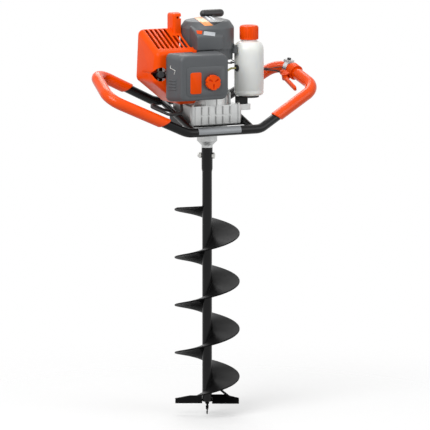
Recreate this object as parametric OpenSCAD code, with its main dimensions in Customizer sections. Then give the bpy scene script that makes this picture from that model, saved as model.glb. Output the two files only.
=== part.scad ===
// One-man earth auger: two-stroke engine with a vertical crankshaft over a two-stage spur gearbox,
// a raked tube handle with two dipped grip loops, and a single-flight drill bit.
// Millimetres. The origin is the tip of the pilot point, +Z runs up the drill axis,
// +X is to the right and -Y is the front, where the air filter is.

/* [Drill bit] */
// Diameter over the flight
flight_d = 200; // [150:5:240]
// Rise of the flight in one turn
flight_pitch = 148; // [120:1:165]
// Thickness of the flight plate
flight_t = 4; // [3:0.5:6]
// Turns of the flight
flight_turns = 3.87; // [2:0.01:4]
// Height of the flight's lower end above the tip
flight_base = 70; // [66:1:90]
// Outside diameter of the bit tube
tube_d = 30; // [28:0.5:33]
// Wall of the bit tube
tube_wall = 3.5; // [2.5:0.5:4]
// Outside diameter of the socket
socket_d = 34; // [34:1:40]
// Length of the socket
socket_l = 64; // [60:1:90]
// Length of the bit from its tip to the mouth of the socket
bit_l = 826; // [780:1:900]
// Length of the bare pilot point
pilot_l = 40; // [34:1:44]
// Width of the flat bar that the pilot point is twisted from
pilot_w = 13; // [10:1:16]
// Width of a cutter blade
blade_w = 30; // [24:1:32]
// Thickness of a cutter blade
blade_t = 5; // [4:0.5:7]
// Lean of a cutter blade from upright
blade_lean = 35; // [20:1:40]
// Diameter of the brace rod
brace_d = 7; // [5:1:9]
// Direction of the blades at rest, from +X
bit_turn = -27; // [-90:1:90]
// Diameter of the coupling bolt
coupling_d = 10; // [8:1:12]

/* [Output drive] */
// Diameter of the output spindle
spindle_d = 20; // [18:0.5:22]
// Outside diameter of the output bearings
bearing_d = 42; // [38:1:46]
// Width of an output bearing
bearing_w = 12; // [10:1:14]
// Diameter of the neck
neck_d = 62; // [56:1:66]
// Diameter of the neck's nose
nose_d = 34; // [30:1:40]
// Height of the neck from its nose to the mounting plate
neck_l = 73; // [68:1:90]
// Diameter of the neck's flange
flange_d = 124; // [116:1:130]
// Thickness of the neck's flange
flange_t = 20; // [14:1:24]

/* [Gearbox] */
// Length of the case
case_l = 168; // [164:1:176]
// Width of the case
case_w = 124; // [116:1:132]
// Wall of the case
case_wall = 5; // [4:0.5:6]
// Height of the lower case
lower_h = 27; // [26:1:32]
// Height of the upper case
upper_h = 30; // [28:1:36]
// Teeth of the input pinion
input_teeth = 12; // [11:1:13]
// Teeth of the idler's large gear
idler_teeth = 58; // [55:1:60]
// Teeth of the idler's pinion
pinion_teeth = 10; // [10:1:12]
// Teeth of the output gear
output_teeth = 46; // [42:1:47]
// Module of the slow pair
slow_module = 1.5; // [1.4:0.02:1.54]
// Face width of the slow pair
slow_face = 12; // [10:0.5:13]
// Face width of the fast pair
fast_face = 8; // [6:0.5:9]
// Diameter of the idler's journals
journal_d = 12; // [10:0.5:13]
// Diameter of the input shaft
input_d = 15; // [12:0.5:16]
// Size of the case bolts
case_bolt_d = 6; // [5:0.5:8]

/* [Clutch] */
// Outside diameter of the clutch bell
bell_d = 136; // [126:1:144]
// Height of the clutch bell
bell_h = 38; // [36:1:44]
// Outside diameter of the clutch drum
drum_d = 100; // [90:1:106]
// Travel of a clutch shoe
shoe_travel = 0.6; // [0.4:0.1:0.8]

/* [Engine] */
// Cylinder bore
bore_d = 44; // [40:0.5:46]
// Stroke of the piston
stroke = 34; // [30:0.5:36]
// Length of the connecting rod between centres
rod_l = 74; // [72:0.5:76]
// Diameter of the crank webs
web_d = 78; // [74:1:80]
// Diameter of the crankshaft's journals
crank_d = 20; // [18:0.5:22]
// Outside diameter of the crankcase
crankcase_d = 120; // [112:1:126]
// Height of the crankcase
crankcase_h = 100; // [94:1:112]
// Height of the cylinder's axis over the foot of the crankcase
cylinder_rise = 56; // [50:1:60]
// Width of the cooling fins
fin_w = 92; // [84:1:96]
// Height of the cooling fins
fin_h = 80; // [72:1:86]
// Thickness of a cooling fin
fin_t = 2.5; // [2:0.5:3.5]
// Distance of the intake port from the crank axis
port_x = 84; // [82:1:88]
// Outside diameter of the fan case
fan_d = 156; // [152:1:158]
// Height of the fan case
fan_h = 33; // [30:1:40]
// Vanes of the flywheel
vanes = 14; // [8:1:18]

/* [Cylinder shroud] */
// Distance of the shroud's far end from the crank axis
shroud_reach = 218; // [214:1:226]
// Width of the shroud
shroud_w = 138; // [134:1:142]
// Wall of the shroud
shroud_wall = 3; // [2.5:0.5:4]
// Radius of the shroud's rounded edges
shroud_round = 18; // [12:1:22]
// Louvre slots in the top of the shroud
louvres = 9; // [6:1:10]
// Width of a louvre slot
louvre_w = 9.5; // [7:0.5:11]
// Distance from slot to slot
louvre_step = 15.5; // [14:0.5:17]

/* [Starter] */
// Outside diameter of the starter cover
starter_d = 164; // [160:1:166]
// Height of the starter cover
starter_h = 92; // [88:1:98]
// Wall of the starter cover
starter_wall = 3; // [2.5:0.5:4]
// Diameter of the pulley that the rope winds on
pulley_d = 93; // [86:1:96]
// Diameter of the starter rope
rope_d = 4; // [3:0.5:4.5]
// Length of the pull grip
pull_grip_l = 80; // [60:1:90]
// Diameter of the pull grip
pull_grip_d = 24; // [20:1:26]
// Rise of the pull direction from level
pull_rise = 60; // [50:1:70]

/* [Air filter] */
// Width of the filter base
filter_w = 178; // [172:1:184]
// Height of the filter base
filter_h = 146; // [140:1:148]
// Depth of the filter cover
filter_depth = 52; // [48:1:58]
// Wall of the filter cover
filter_wall = 3; // [2:0.5:4]
// Diameter of the filter knob
knob_d = 46; // [36:1:50]
// Thickness of the filter knob
knob_t = 13; // [10:1:16]
// Length of the intake block
intake_l = 10; // [8:1:14]
// Length of the carburettor
carburettor_l = 30; // [28:1:34]

/* [Fuel] */
// Diameter of the bottle
bottle_d = 90; // [80:1:92]
// Height of the bottle up to its neck
bottle_h = 166; // [156:1:172]
// Wall of the bottle
bottle_wall = 2.2; // [1.5:0.1:3]
// Diameter of the bottle's neck
bottle_neck_d = 48; // [42:1:50]
// Diameter of the cap
cap_d = 58; // [56:1:62]
// Height of the cap
cap_h = 43; // [38:1:48]
// Outside diameter of the fuel hose
hose_d = 6.4; // [5:0.2:7]
// Place of the bottle to the right of the drill axis
bottle_x = 121; // [121:1:128]
// Place of the bottle in front of the drill axis
bottle_front = 44; // [44:1:50]

/* [Handle] */
// Diameter of the handle tube
handle_d = 28; // [25:0.5:30]
// Wall of the handle tube
handle_wall = 2; // [1.5:0.5:3]
// Thickness of the dipped grip coat
grip_t = 4; // [2:0.5:5]
// Rake of the handle's plane, rear side up
frame_tilt = 18; // [14:1:20]
// Distance between the front and rear bars, in the handle's plane
bar_span = 240; // [236:1:250]
// Half of the straight length of a bar
bar_half = 124; // [120:1:130]
// Reach of the loops' front corners to the side
front_reach = 352; // [345:1:360]
// Rise of the loops' front corners over the handle's plane
front_rise = 80; // [74:1:86]
// Place of the front corners to the rear of the drill axis, in the handle's plane
front_sweep = -19; // [-26:1:-12]
// Reach of the loops' rear corners to the side
rear_reach = 323; // [316:1:330]
// Rise of the loops' rear corners over the handle's plane
rear_rise = 89; // [84:1:94]
// Place of the rear corners to the rear of the drill axis, in the handle's plane
rear_sweep = 165; // [160:1:170]
// Bend radius of the loops' corners
loop_bend = 55; // [50:1:58]
// Bend radius at the ends of the bars
bar_bend = 60; // [50:1:70]
// Diameter of the cross struts
strut_d = 20; // [16:1:22]
// Place of the cross struts to the side of the drill axis
strut_x = 99; // [97:1:102]
// Thickness of the mounting plate
plate_t = 5; // [4:0.5:6]
// Length of the throttle lever
lever_l = 84; // [70:1:88]

/* [Hidden] */
$fn = 48;

// Shared clearances: a running fit, a seat, and free air round a moving piece
run_gap = 0.05;
seat_gap = 0.05;
air_gap = 0.5;
eps = 0.5;

// Weld collar at the ends of a tube's bend: half its length, and its rise over the tube
collar = 0.6;
collar_rise = 0.03;

// Levels up the drill axis
neck_gap = 1;
z_neck = bit_l + neck_gap;
z_plate = z_neck + neck_l;
z_case = z_plate + plate_t;
z_split = z_case + lower_h;
z_bell = z_split + upper_h;
z_crankcase = z_bell + bell_h;
z_cylinder = z_crankcase + cylinder_rise;
z_fan = z_crankcase + crankcase_h;
z_starter = z_fan + fan_h;
z_frame = z_plate + 26.5;

// Gear train: the idler stands beside the drill axis, and the fast pair shares its centre distance
idler_x = slow_module * (pinion_teeth + output_teeth) / 2;
fast_module = 2 * idler_x / (input_teeth + idler_teeth);
// Room for the idler's large gear: its tip radius and a clearance
gear_clear = 0.8;
idler_room = fast_module * (idler_teeth / 2 + 1) + gear_clear;
case_floor = 8;
case_roof = 12;
z_slow = z_case + case_floor + 1;
z_fast = z_slow + slow_face + 4;
spindle_top = z_slow + slow_face + 1;
input_foot = z_fast - 1;
idler_foot = z_case + 1.5;
idler_top = z_bell - 4;
input_bearing_d = 32;
input_bearing_w = 9;
journal_bush_d = journal_d + 6;

// Crank and piston, with the piston at the top of its stroke
rod_t = 14;
web_t = 10;
web_gap = rod_t + 1.6;
crank_pin_d = 18;
wrist_pin_d = 12;
piston_pin_to_crown = 20;
piston_l = 33;
piston_pin_x = -(stroke / 2 + rod_l);
crown_x = piston_pin_x - piston_pin_to_crown;
head_x = crown_x - 2;
head_t = 18;
block_x = crankcase_d / 2 + 4;
flange_x = block_x + 6;
crank_room_d = web_d + 6;
crank_room_h = web_gap + 2 * web_t + 4;
port_face = 52;
port_d = 18;
plug_d = 14;

// Drum, shoes and hub of the clutch
drum_floor = 4;
drum_h = 24;
drum_wall = 3;
z_drum = z_bell + 6;
shoe_d = drum_d - 2 * drum_wall - 2 * shoe_travel - 0.4;
z_shoe = z_drum + drum_floor + 3;
shoe_h = 14;
hub_w = 24;
hub_l = 60;

// Intake side, from the port face forwards
y_carburettor = -(port_face + intake_l);
y_filter = y_carburettor - carburettor_l;
base_t = 8;
y_cover = y_filter - base_t;
filter_centre_x = -96;
filter_centre_z = z_cylinder + 4;
knob_x = -60;
knob_z = z_cylinder - 11;
knob_shank_d = 10;
choke_x = -95;
choke_z = z_cylinder + 38;
choke_l = 46;
throttle_x = -port_x;
throttle_y = y_carburettor - carburettor_l / 2;
carburettor_h = 48;
z_throttle = z_cylinder + carburettor_h / 2 + 2;

// Cylinder shroud, and the end of the spark plug's boot in its front
shroud_low = z_crankcase - 28;
shroud_front = -80;
shroud_rear = shroud_front + shroud_w;
shroud_near = 78;
front_top = z_fan + 40;
rear_top = z_fan + 94;
plug_x = head_x - head_t;
boot_end = [plug_x - 65, shroud_front - 2, z_cylinder + 12];

// Starter: the rope runs off the pulley to the rear, and turns up to the eyelet
pulley_z = z_starter + 19;
pulley_h = 14;
rope_z = pulley_z + pulley_h / 2;
rope_r = rope_d / 2;
rope_x = pulley_d / 2 + 2 * rope_r + 0.5;
post_d = 14;
shoulder_h = 28;
shoulder_drop = 8;
shoulder_in = 14;
crown_d = 60;
pull_dir = [0, cos(pull_rise), sin(pull_rise)];
eyelet_r = starter_d / 2 - shoulder_in / 2;
eyelet = [rope_x, sqrt(eyelet_r * eyelet_r - rope_x * rope_x), z_starter + starter_h - shoulder_h / 2 - 4];
rope_turn = eyelet - pull_dir * ((eyelet.z - rope_z) / pull_dir.z);
pull_grip_gap = 9;
pull_grip_at = eyelet + pull_dir * (pull_grip_gap + 17);

// Fuel bottle
bottle_at = [bottle_x, -bottle_front];
z_bottle = z_crankcase - 14;
hose_dir = [cos(190), sin(190), 0];
hose_z = z_cylinder + 16;
z_cap = z_bottle + bottle_h + 5;
neck_h = 26;
ear_z = z_bell - 22;

// Handle: corners of the closed tube, first in the raked plane and then in the part's frame
function raked(p) = [
    p.x,
    p.y * cos(frame_tilt) - p.z * sin(frame_tilt),
    z_frame + p.y * sin(frame_tilt) + p.z * cos(frame_tilt)
];
function corners(side) = [
    raked([side * bar_half, -bar_span / 2, 0]),
    raked([side * front_reach, front_sweep, front_rise]),
    raked([side * rear_reach, rear_sweep, rear_rise]),
    raked([side * bar_half, bar_span / 2, 0])
];
function backwards(v) = [for (i = [len(v) - 1:-1:0]) v[i]];
right_corners = corners(1);
frame_path = concat(right_corners, backwards(corners(-1)));
frame_bends = [bar_bend, loop_bend, loop_bend, bar_bend, bar_bend, loop_bend, loop_bend, bar_bend];
grip_from = 0.285;
grip_to = 0.433;
function grip_path(side) = let(c = corners(side)) [
    c[0] + grip_from * (c[1] - c[0]), c[1], c[2], c[3] + grip_to * (c[2] - c[3])
];
grip_d = handle_d + 2 * grip_t;

// Throttle lever: a frame on the right grip, X along the grip to the front, Y into the loop
lever_place = 0.38;
lever_at = right_corners[2] + lever_place * (right_corners[1] - right_corners[2]);
lever_x = unit(right_corners[1] - right_corners[2]);
loop_inward = (right_corners[0] + right_corners[3]) / 2 - lever_at;
lever_y = unit(loop_inward - (loop_inward * lever_x) * lever_x);
lever_z = cross(lever_x, lever_y);
clamp_l = 24;
clamp_d = grip_d + 12;
pivot_y = 36;
lever_t = 12;
lever_pivot = lever_at + pivot_y * lever_y;

// Stop switch on the bend at the rear of the right loop, with Z up the grip's upper side
switch_turn = 75;
switch_clear = 0.8;
bend_in = unit(right_corners[2] - right_corners[3]);
bend_side = unit(lever_x - (lever_x * bend_in) * bend_in);
bend_start = right_corners[2] - loop_bend * tan(acos(bend_in * lever_x) / 2) * bend_in;
switch_at = bend_start + loop_bend * (sin(switch_turn) * bend_in + (1 - cos(switch_turn)) * bend_side);
switch_x = cos(switch_turn) * bend_in + sin(switch_turn) * bend_side;
switch_z = unit([0, 0, 1] - switch_x.z * switch_x);
switch_y = cross(switch_z, switch_x);
button_travel = 3;

// Routes of the hoses and cables that the machine holds from end to end
cable_d = 5;
cable_end = lever_at + (pivot_y - 2) * lever_y - 13 * lever_x;
cable_route = [
    cable_end, cable_end - 23 * lever_x, [205, 62, 1052], [104, 42, 1080],
    [48, -72, 1090], [-30, -84, 1098], [-66, -84, 1098]
];
wire_d = 3;
wire_from = switch_at - (grip_d / 2 + 2.4) * switch_y;
wire_route = [
    wire_from, wire_from + [-16, -8.3, 6],
    cable_route[1] + 0.42 * (cable_route[2] - cable_route[1]) + [0, 0, 4.4]
];
breather_d = 9;
breather_route = [
    [-112, -48, shroud_low - 1.8], [-114, -58, 944], [-170, -88, 944], [-210, -45, 966],
    [-180, 14, 966], [-132, 34, 946], [-109.8, 39.8, 941.2]
];

// Colours as the photograph shows them
orange = [0.93, 0.28, 0.08];
charcoal = [0.27, 0.28, 0.29];
soot = [0.07, 0.07, 0.07];
castings = [0.78, 0.78, 0.76];
steel = [0.6, 0.6, 0.6];
milk = [0.93, 0.93, 0.9];

// Helpers

function unit(v) = v / norm(v);
function polar(r, a) = [r * cos(a), r * sin(a)];

// Solid rod between two points
module rod(a, b, r) {
    v = b - a;
    translate(a) rotate([0, acos(v.z / norm(v)), atan2(v.y, v.x)]) cylinder(r = r, h = norm(v));
}

// Length that a bend at corner b takes off each of its two straights
function bend_cut(a, b, c, bend) = bend * tan(acos(unit(b - a) * unit(c - b)) / 2);

// Child placed in a frame with the given axes and origin
module in_frame(x, y, z, at) {
    multmatrix([[x.x, y.x, z.x, at.x], [x.y, y.y, z.y, at.y], [x.z, y.z, z.z, at.z]]) children();
}

// Round bend at corner b of the line a, b, c, with a collar at each end that joins it to its straights
module tube_bend(a, b, c, bend, r) {
    d1 = unit(b - a);
    d2 = unit(c - b);
    inward = unit(d2 - (d2 * d1) * d1);
    cut = bend_cut(a, b, c, bend);
    in_frame(-inward, d1, cross(-inward, d1), b - cut * d1 + bend * inward)
        rotate_extrude(angle = acos(d1 * d2)) translate([bend, 0]) circle(r);
    rod(b - (cut + collar) * d1, b - (cut - collar) * d1, r + collar_rise);
    rod(b + (cut - collar) * d2, b + (cut + collar) * d2, r + collar_rise);
}

// Round tube along a line of points with a bend at each inner corner, or at every corner of a closed line
module tube_path(p, bends, r, closed = false) {
    n = len(p);
    last = closed ? n - 1 : n - 2;
    function at(i) = p[(i + n) % n];
    function bent(i) = closed || (i > 0 && i < n - 1);
    function cut(i) = bent(i) ? bend_cut(at(i - 1), at(i), at(i + 1), bends[i % n]) + collar / 2 : 0;
    for (i = [0:last]) {
        along = unit(at(i + 1) - at(i));
        rod(at(i) + cut(i) * along, at(i + 1) - cut(i + 1) * along, r);
    }
    for (i = [closed ? 0 : 1:last]) tube_bend(at(i - 1), at(i), at(i + 1), bends[i % n], r);
}

function same_bends(p, bend) = [for (i = p) bend];

// Rectangle with round corners, centred
module round_rect(w, h, r) {
    square([w - 2 * r, h], center = true);
    square([w, h - 2 * r], center = true);
    for (x = [-1, 1], y = [-1, 1]) translate([x * (w / 2 - r), y * (h / 2 - r)]) circle(r);
}

// Straight-toothed gear outline: thinned teeth with sloped flanks and short tips
function gear_points(teeth, m) = let(
    step = 360 / teeth,
    r = m * teeth / 2,
    half = 0.8 * step / 4,
    tip = half - asin(0.7 * m * tan(22) / r),
    root = half + asin(m * tan(8) / r)
) [for (i = [0:teeth - 1], k = [[-root, -1], [-tip, 0.7], [tip, 0.7], [root, -1]])
    polar(r + k[1] * m, i * step + k[0])];

module gear(teeth, m, face) { linear_extrude(face) polygon(gear_points(teeth, m)); }

// Ring standing on z
module ring(z, h, d_out, d_in) {
    translate([0, 0, z]) difference() {
        cylinder(d = d_out, h = h);
        translate([0, 0, -eps]) cylinder(d = d_in, h = h + 2 * eps);
    }
}

// Ball bearing: two rings and their balls
module ball_bearing(z, d_out, d_in, w) {
    race = (d_out - d_in) / 6;
    ball = (d_out - d_in) / 2 - 2 * race + 1.2;
    pitch = (d_out + d_in) / 4;
    difference() {
        union() {
            ring(z, w, d_out, d_out - 2 * race);
            ring(z, w, d_in + 2 * race, d_in);
        }
        translate([0, 0, z + w / 2]) rotate_extrude() translate([pitch, 0]) circle(d = ball + 0.1);
    }
    for (i = [0:7]) rotate([0, 0, 45 * i]) translate([pitch, 0, z + w / 2]) sphere(d = ball);
}

// Hexagon-headed bolt, head down at z = 0 and shank up
module hex_bolt(d, l) {
    translate([0, 0, -0.65 * d]) cylinder(d = 1.9 * d, h = 0.65 * d, $fn = 6);
    cylinder(d = d, h = l);
}

// Cylinder along X between two places, at the cylinder's height
module bar_x(x0, x1, d) {
    translate([x0, 0, z_cylinder]) rotate([0, 90, 0]) cylinder(d = d, h = x1 - x0);
}

// Drill bit

coupling_z = bit_l - 24;
flight_r_in = tube_d / 2 + seat_gap;
flight_span = 360 * flight_turns;
flight_steps = ceil(flight_span / 10);
flight_from = bit_turn - 110;

module bit_tube() {
    color(soot) ring(pilot_l, bit_l - socket_l - pilot_l + 14, tube_d, tube_d - 2 * tube_wall);
}

module bit_socket() {
    foot = bit_l - socket_l;
    weld = 8;
    color(soot) difference() {
        union() {
            translate([0, 0, foot]) cylinder(d = socket_d, h = socket_l);
            translate([0, 0, foot - weld]) cylinder(d1 = tube_d + 1, d2 = socket_d, h = weld);
        }
        translate([0, 0, foot - weld - eps]) cylinder(d = tube_d + 2 * seat_gap, h = weld + 14 + eps);
        translate([0, 0, foot]) cylinder(d = spindle_d + 2 * seat_gap, h = socket_l + eps);
        coupling_place(coupling_d + 2 * seat_gap);
    }
}

// Cross hole through the socket and the spindle
module coupling_place(d) {
    translate([0, 0, coupling_z]) rotate([0, 90, bit_turn - 15])
        cylinder(d = d, h = 2 * socket_d, center = true);
}

// Corners of the flight's section at an angle from its lower end
function flight_section(a) = let(
    c = cos(a + flight_from), s = sin(a + flight_from), z = flight_base + flight_pitch * a / 360,
    ri = flight_r_in / cos(5), ro = flight_d / 2
) [[ri * c, ri * s, z], [ro * c, ro * s, z], [ro * c, ro * s, z + flight_t],
    [ri * c, ri * s, z + flight_t]];

module bit_flight() {
    points = [for (i = [0:flight_steps]) each flight_section(i * flight_span / flight_steps)];
    sides = [for (i = [0:flight_steps - 1], k = [0:3]) let(a = 4 * i + k, b = 4 * i + (k + 1) % 4)
        each [[a, b, b + 4], [a, b + 4, a + 4]]];
    end = 4 * flight_steps;
    ends = [[2, 1, 0], [3, 2, 0], [end, end + 1, end + 2], [end, end + 2, end + 3]];
    color(soot) polyhedron(points = points, faces = concat(sides, ends));
}

blade_in = tube_d / 2 + seat_gap;
blade_out = flight_d / 2 - 2;
blade_foot = pilot_l - 5;

module cutter_blades() {
    outline = [[blade_in, 0], [blade_out, 0], [blade_out, blade_w * 0.6], [blade_out * 0.55, blade_w],
        [blade_in, blade_w]];
    color(soot) {
        difference() {
            for (turn = [0, 180]) rotate([0, 0, bit_turn + turn]) translate([0, -8, blade_foot])
                rotate([90 - blade_lean, 0, 0]) translate([0, 0, -blade_t]) linear_extrude(blade_t)
                    polygon(outline);
            brace();
        }
        difference() {
            brace();
            translate([0, 0, pilot_l]) cylinder(d = tube_d + 2 * seat_gap, h = 100);
        }
    }
}

// Rod from the tube down to the upper face of the right blade
module brace() {
    rotate([0, 0, bit_turn])
        rod([tube_d / 2 - 2, 6, blade_foot + 62], [70, 6, blade_foot + 16], brace_d / 2);
}

module pilot_point() {
    bar_t = 6;
    color(soot) {
        mirror([0, 0, 1]) translate([0, 0, -pilot_l])
            linear_extrude(pilot_l, twist = 420, scale = 0.25, slices = 28)
            square([pilot_w, bar_t], center = true);
        translate([0, 0, pilot_l]) cylinder(d = tube_d - 2 * tube_wall - 2 * seat_gap, h = 16);
    }
}

module coupling_bolt() {
    head = socket_d / 2 + seat_gap;
    color(steel) translate([0, 0, coupling_z]) rotate([0, -90, bit_turn - 15]) {
        translate([0, 0, -head]) hex_bolt(coupling_d, 2 * head + 12);
        ring(head, 0.8 * coupling_d, 1.8 * coupling_d, coupling_d + 2 * seat_gap, $fn = 6);
    }
}

// Output drive

module output_spindle() {
    foot = bit_l - socket_l + 16;
    color(steel) difference() {
        translate([0, 0, foot]) cylinder(d = spindle_d, h = spindle_top - foot);
        coupling_place(coupling_d + 2 * seat_gap);
    }
}

module output_gear() {
    color(steel) difference() {
        translate([0, 0, z_slow]) gear(output_teeth, slow_module, slow_face);
        translate([0, 0, z_slow - eps]) cylinder(d = spindle_d + 2 * seat_gap, h = slow_face + 2 * eps);
    }
}

flange_bolt_r = (neck_d + flange_d) / 4 + 1;
neck_bolt_d = 8;
spigot_h = plate_t + 6;
bearing_floor = 23;

module output_neck() {
    nose_h = 7;
    cone_h = 14;
    color(castings) difference() {
        union() {
            translate([0, 0, z_neck]) cylinder(d = nose_d, h = nose_h);
            translate([0, 0, z_neck + nose_h]) cylinder(d1 = nose_d, d2 = neck_d, h = cone_h);
            translate([0, 0, z_neck + nose_h + cone_h])
                cylinder(d = neck_d, h = neck_l + spigot_h - nose_h - cone_h);
            translate([0, 0, z_plate - flange_t]) cylinder(d = flange_d, h = flange_t);
        }
        translate([0, 0, z_neck - eps]) cylinder(d = spindle_d + 2 * air_gap, h = 2 * neck_l);
        translate([0, 0, z_neck + bearing_floor]) cylinder(d = bearing_d + 2 * seat_gap, h = neck_l);
        neck_bolt_holes(neck_bolt_d + 0.4, z_plate - flange_t - eps, flange_t + 2 * eps);
    }
}

module neck_bolt_places() {
    for (i = [0:3]) rotate([0, 0, 45 + 90 * i]) translate([flange_bolt_r, 0, 0]) children();
}

module neck_bolt_holes(d, z, h) { neck_bolt_places() translate([0, 0, z]) cylinder(d = d, h = h); }

// The four like ball bearings: two on the spindle and two on the crankshaft
module shaft_bearings() {
    spindle_fit = spindle_d + 2 * run_gap;
    crank_fit = crank_d + 2 * run_gap;
    color(steel) {
        ball_bearing(z_neck + bearing_floor, bearing_d, spindle_fit, bearing_w);
        ball_bearing(z_plate - bearing_w, bearing_d, spindle_fit, bearing_w);
        ball_bearing(z_cylinder - crank_room_h / 2 - bearing_w, bearing_d, crank_fit, bearing_w);
        ball_bearing(z_cylinder + crank_room_h / 2, bearing_d, crank_fit, bearing_w);
    }
}

// Gearbox

boss_d = 3 * case_bolt_d;
boss_x = case_l / 2 - boss_d / 2 + 3;
boss_y = case_w / 2 - boss_d / 2 + 3;

module case_bolt_places() {
    for (x = [-1, 1], y = [-1, 1]) translate([x * boss_x, y * boss_y, 0]) children();
}

// One half of the case: a box with corner bosses, before its cavity and bores are cut
module case_block(z, h) {
    translate([0, 0, z]) {
        linear_extrude(h) round_rect(case_l, case_w, 8);
        translate([idler_x, 0, 0]) cylinder(r = idler_room + case_wall, h = h);
        case_bolt_places() cylinder(d = boss_d, h = h);
        for (y = [-1, 1], x = [-2:2]) translate([x * 24 - 2, y * (case_w / 2 + 1.5) - 2.5, 3])
            cube([4, 5, h - 6]);
    }
}

module case_cavity(z, h) {
    difference() {
        translate([0, 0, z]) {
            linear_extrude(h) round_rect(case_l - 2 * case_wall, case_w - 2 * case_wall, 6);
            translate([idler_x, 0, 0]) cylinder(r = idler_room, h = h);
        }
        case_bolt_places() translate([0, 0, z - eps]) cylinder(d = boss_d, h = h + 2 * eps);
    }
}

module gearbox_lower() {
    color(castings) difference() {
        case_block(z_case, lower_h);
        case_cavity(z_case + case_floor, lower_h);
        translate([0, 0, z_case - eps]) cylinder(d = neck_d + 2 * seat_gap, h = spigot_h - plate_t + eps);
        translate([0, 0, z_case - eps]) cylinder(d = spindle_d + 2 * air_gap, h = lower_h);
        translate([idler_x, 0, z_case + 1]) cylinder(d = journal_bush_d, h = lower_h);
        neck_bolt_holes(neck_bolt_d + 2 * seat_gap, z_case - eps, 6 + eps);
        case_bolt_places() translate([0, 0, z_case + 5])
            cylinder(d = case_bolt_d + 2 * seat_gap, h = lower_h);
    }
}

module gearbox_upper() {
    ear_w = 40;
    color(castings) difference() {
        union() {
            case_block(z_split, upper_h);
            translate([case_l / 2 - 10, -ear_w, ear_z]) cube([54, ear_w, 18]);
        }
        case_cavity(z_split - eps, upper_h - case_roof + eps);
        translate([0, 0, z_bell - case_roof - eps])
            cylinder(d = input_bearing_d + 2 * seat_gap, h = input_bearing_w + 1 + eps);
        translate([0, 0, z_split]) cylinder(d = input_bearing_d - 8, h = upper_h + eps);
        translate([idler_x, 0, z_split]) cylinder(d = journal_bush_d, h = upper_h - 4);
        case_bolt_places() translate([0, 0, z_split - eps])
            cylinder(d = case_bolt_d + 0.4, h = upper_h + 2 * eps);
    }
}

module gearbox_bolts() {
    color(steel) {
        neck_bolt_places() translate([0, 0, z_plate - flange_t])
            hex_bolt(neck_bolt_d, flange_t + plate_t + 5);
        case_bolt_places() translate([0, 0, z_bell]) mirror([0, 0, 1])
            hex_bolt(case_bolt_d, upper_h + lower_h - 6);
    }
}

module gearbox_bearings() {
    color(steel) {
        ball_bearing(z_bell - case_roof + 1, input_bearing_d, input_d + 2 * run_gap, input_bearing_w);
        translate([idler_x, 0, 0]) {
            ring(z_case + 1, case_floor - 1, journal_bush_d - 2 * seat_gap, journal_d + 2 * run_gap);
            ring(z_bell - case_roof, 8, journal_bush_d - 2 * seat_gap, journal_d + 2 * run_gap);
        }
    }
}

module idler_cluster() {
    gap = 180 / idler_teeth;
    color(steel) translate([idler_x, 0, 0]) {
        translate([0, 0, idler_foot]) cylinder(d = journal_d, h = idler_top - idler_foot);
        translate([0, 0, z_slow]) rotate([0, 0, 180 + 180 / pinion_teeth])
            gear(pinion_teeth, slow_module, slow_face + 2);
        translate([0, 0, z_fast]) rotate([0, 0, 180 + gap]) gear(idler_teeth, fast_module, fast_face);
    }
}

// Clutch

module clutch_bell() {
    bell_wall = 6;
    floor_t = 4;
    color(castings) difference() {
        union() {
            translate([0, 0, z_bell]) cylinder(d = bell_d, h = bell_h);
            for (i = [0:11]) rotate([0, 0, 30 * i]) translate([bell_d / 2 - 3, -2, z_bell])
                cube([7, 4, bell_h - 4]);
        }
        translate([0, 0, z_bell + floor_t]) cylinder(d = bell_d - 2 * bell_wall, h = bell_h);
        translate([0, 0, z_bell - eps]) cylinder(d = input_d + 10, h = bell_h);
        case_bolt_places() translate([0, 0, z_bell - eps]) cylinder(d = 2.4 * case_bolt_d, h = case_bolt_d);
    }
}

module clutch_drum() {
    color(steel) {
        difference() {
            translate([0, 0, z_drum]) cylinder(d = drum_d, h = drum_h);
            translate([0, 0, z_drum + drum_floor]) cylinder(d = drum_d - 2 * drum_wall, h = drum_h);
        }
        translate([0, 0, input_foot]) cylinder(d = 0.8 * fast_module * input_teeth, h = fast_face + 3);
        translate([0, 0, z_fast + fast_face + 1]) cylinder(d = input_d, h = z_drum - z_fast - fast_face);
        translate([0, 0, input_foot + 0.5]) gear(input_teeth, fast_module, fast_face + 1);
    }
}

// Front shoe: half a disc with a slot that the hub guides
module clutch_shoe() {
    difference() {
        translate([0, 0, z_shoe]) cylinder(d = shoe_d, h = shoe_h);
        translate([-drum_d, -4, z_shoe - eps]) cube([2 * drum_d, 2 * drum_d, shoe_h + 2 * eps]);
        translate([-hub_w / 2 - 0.3, -hub_l / 2 - 0.3, z_shoe - eps])
            cube([hub_w + 0.6, hub_l, shoe_h + 2 * eps]);
        translate([0, 0, z_shoe - eps]) cylinder(d = crank_d + 2 * air_gap, h = shoe_h + 2 * eps);
    }
}

module shoe_front() { color(soot) clutch_shoe(); }

module shoe_rear() { color(soot) mirror([0, 1, 0]) clutch_shoe(); }

// Engine

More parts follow.
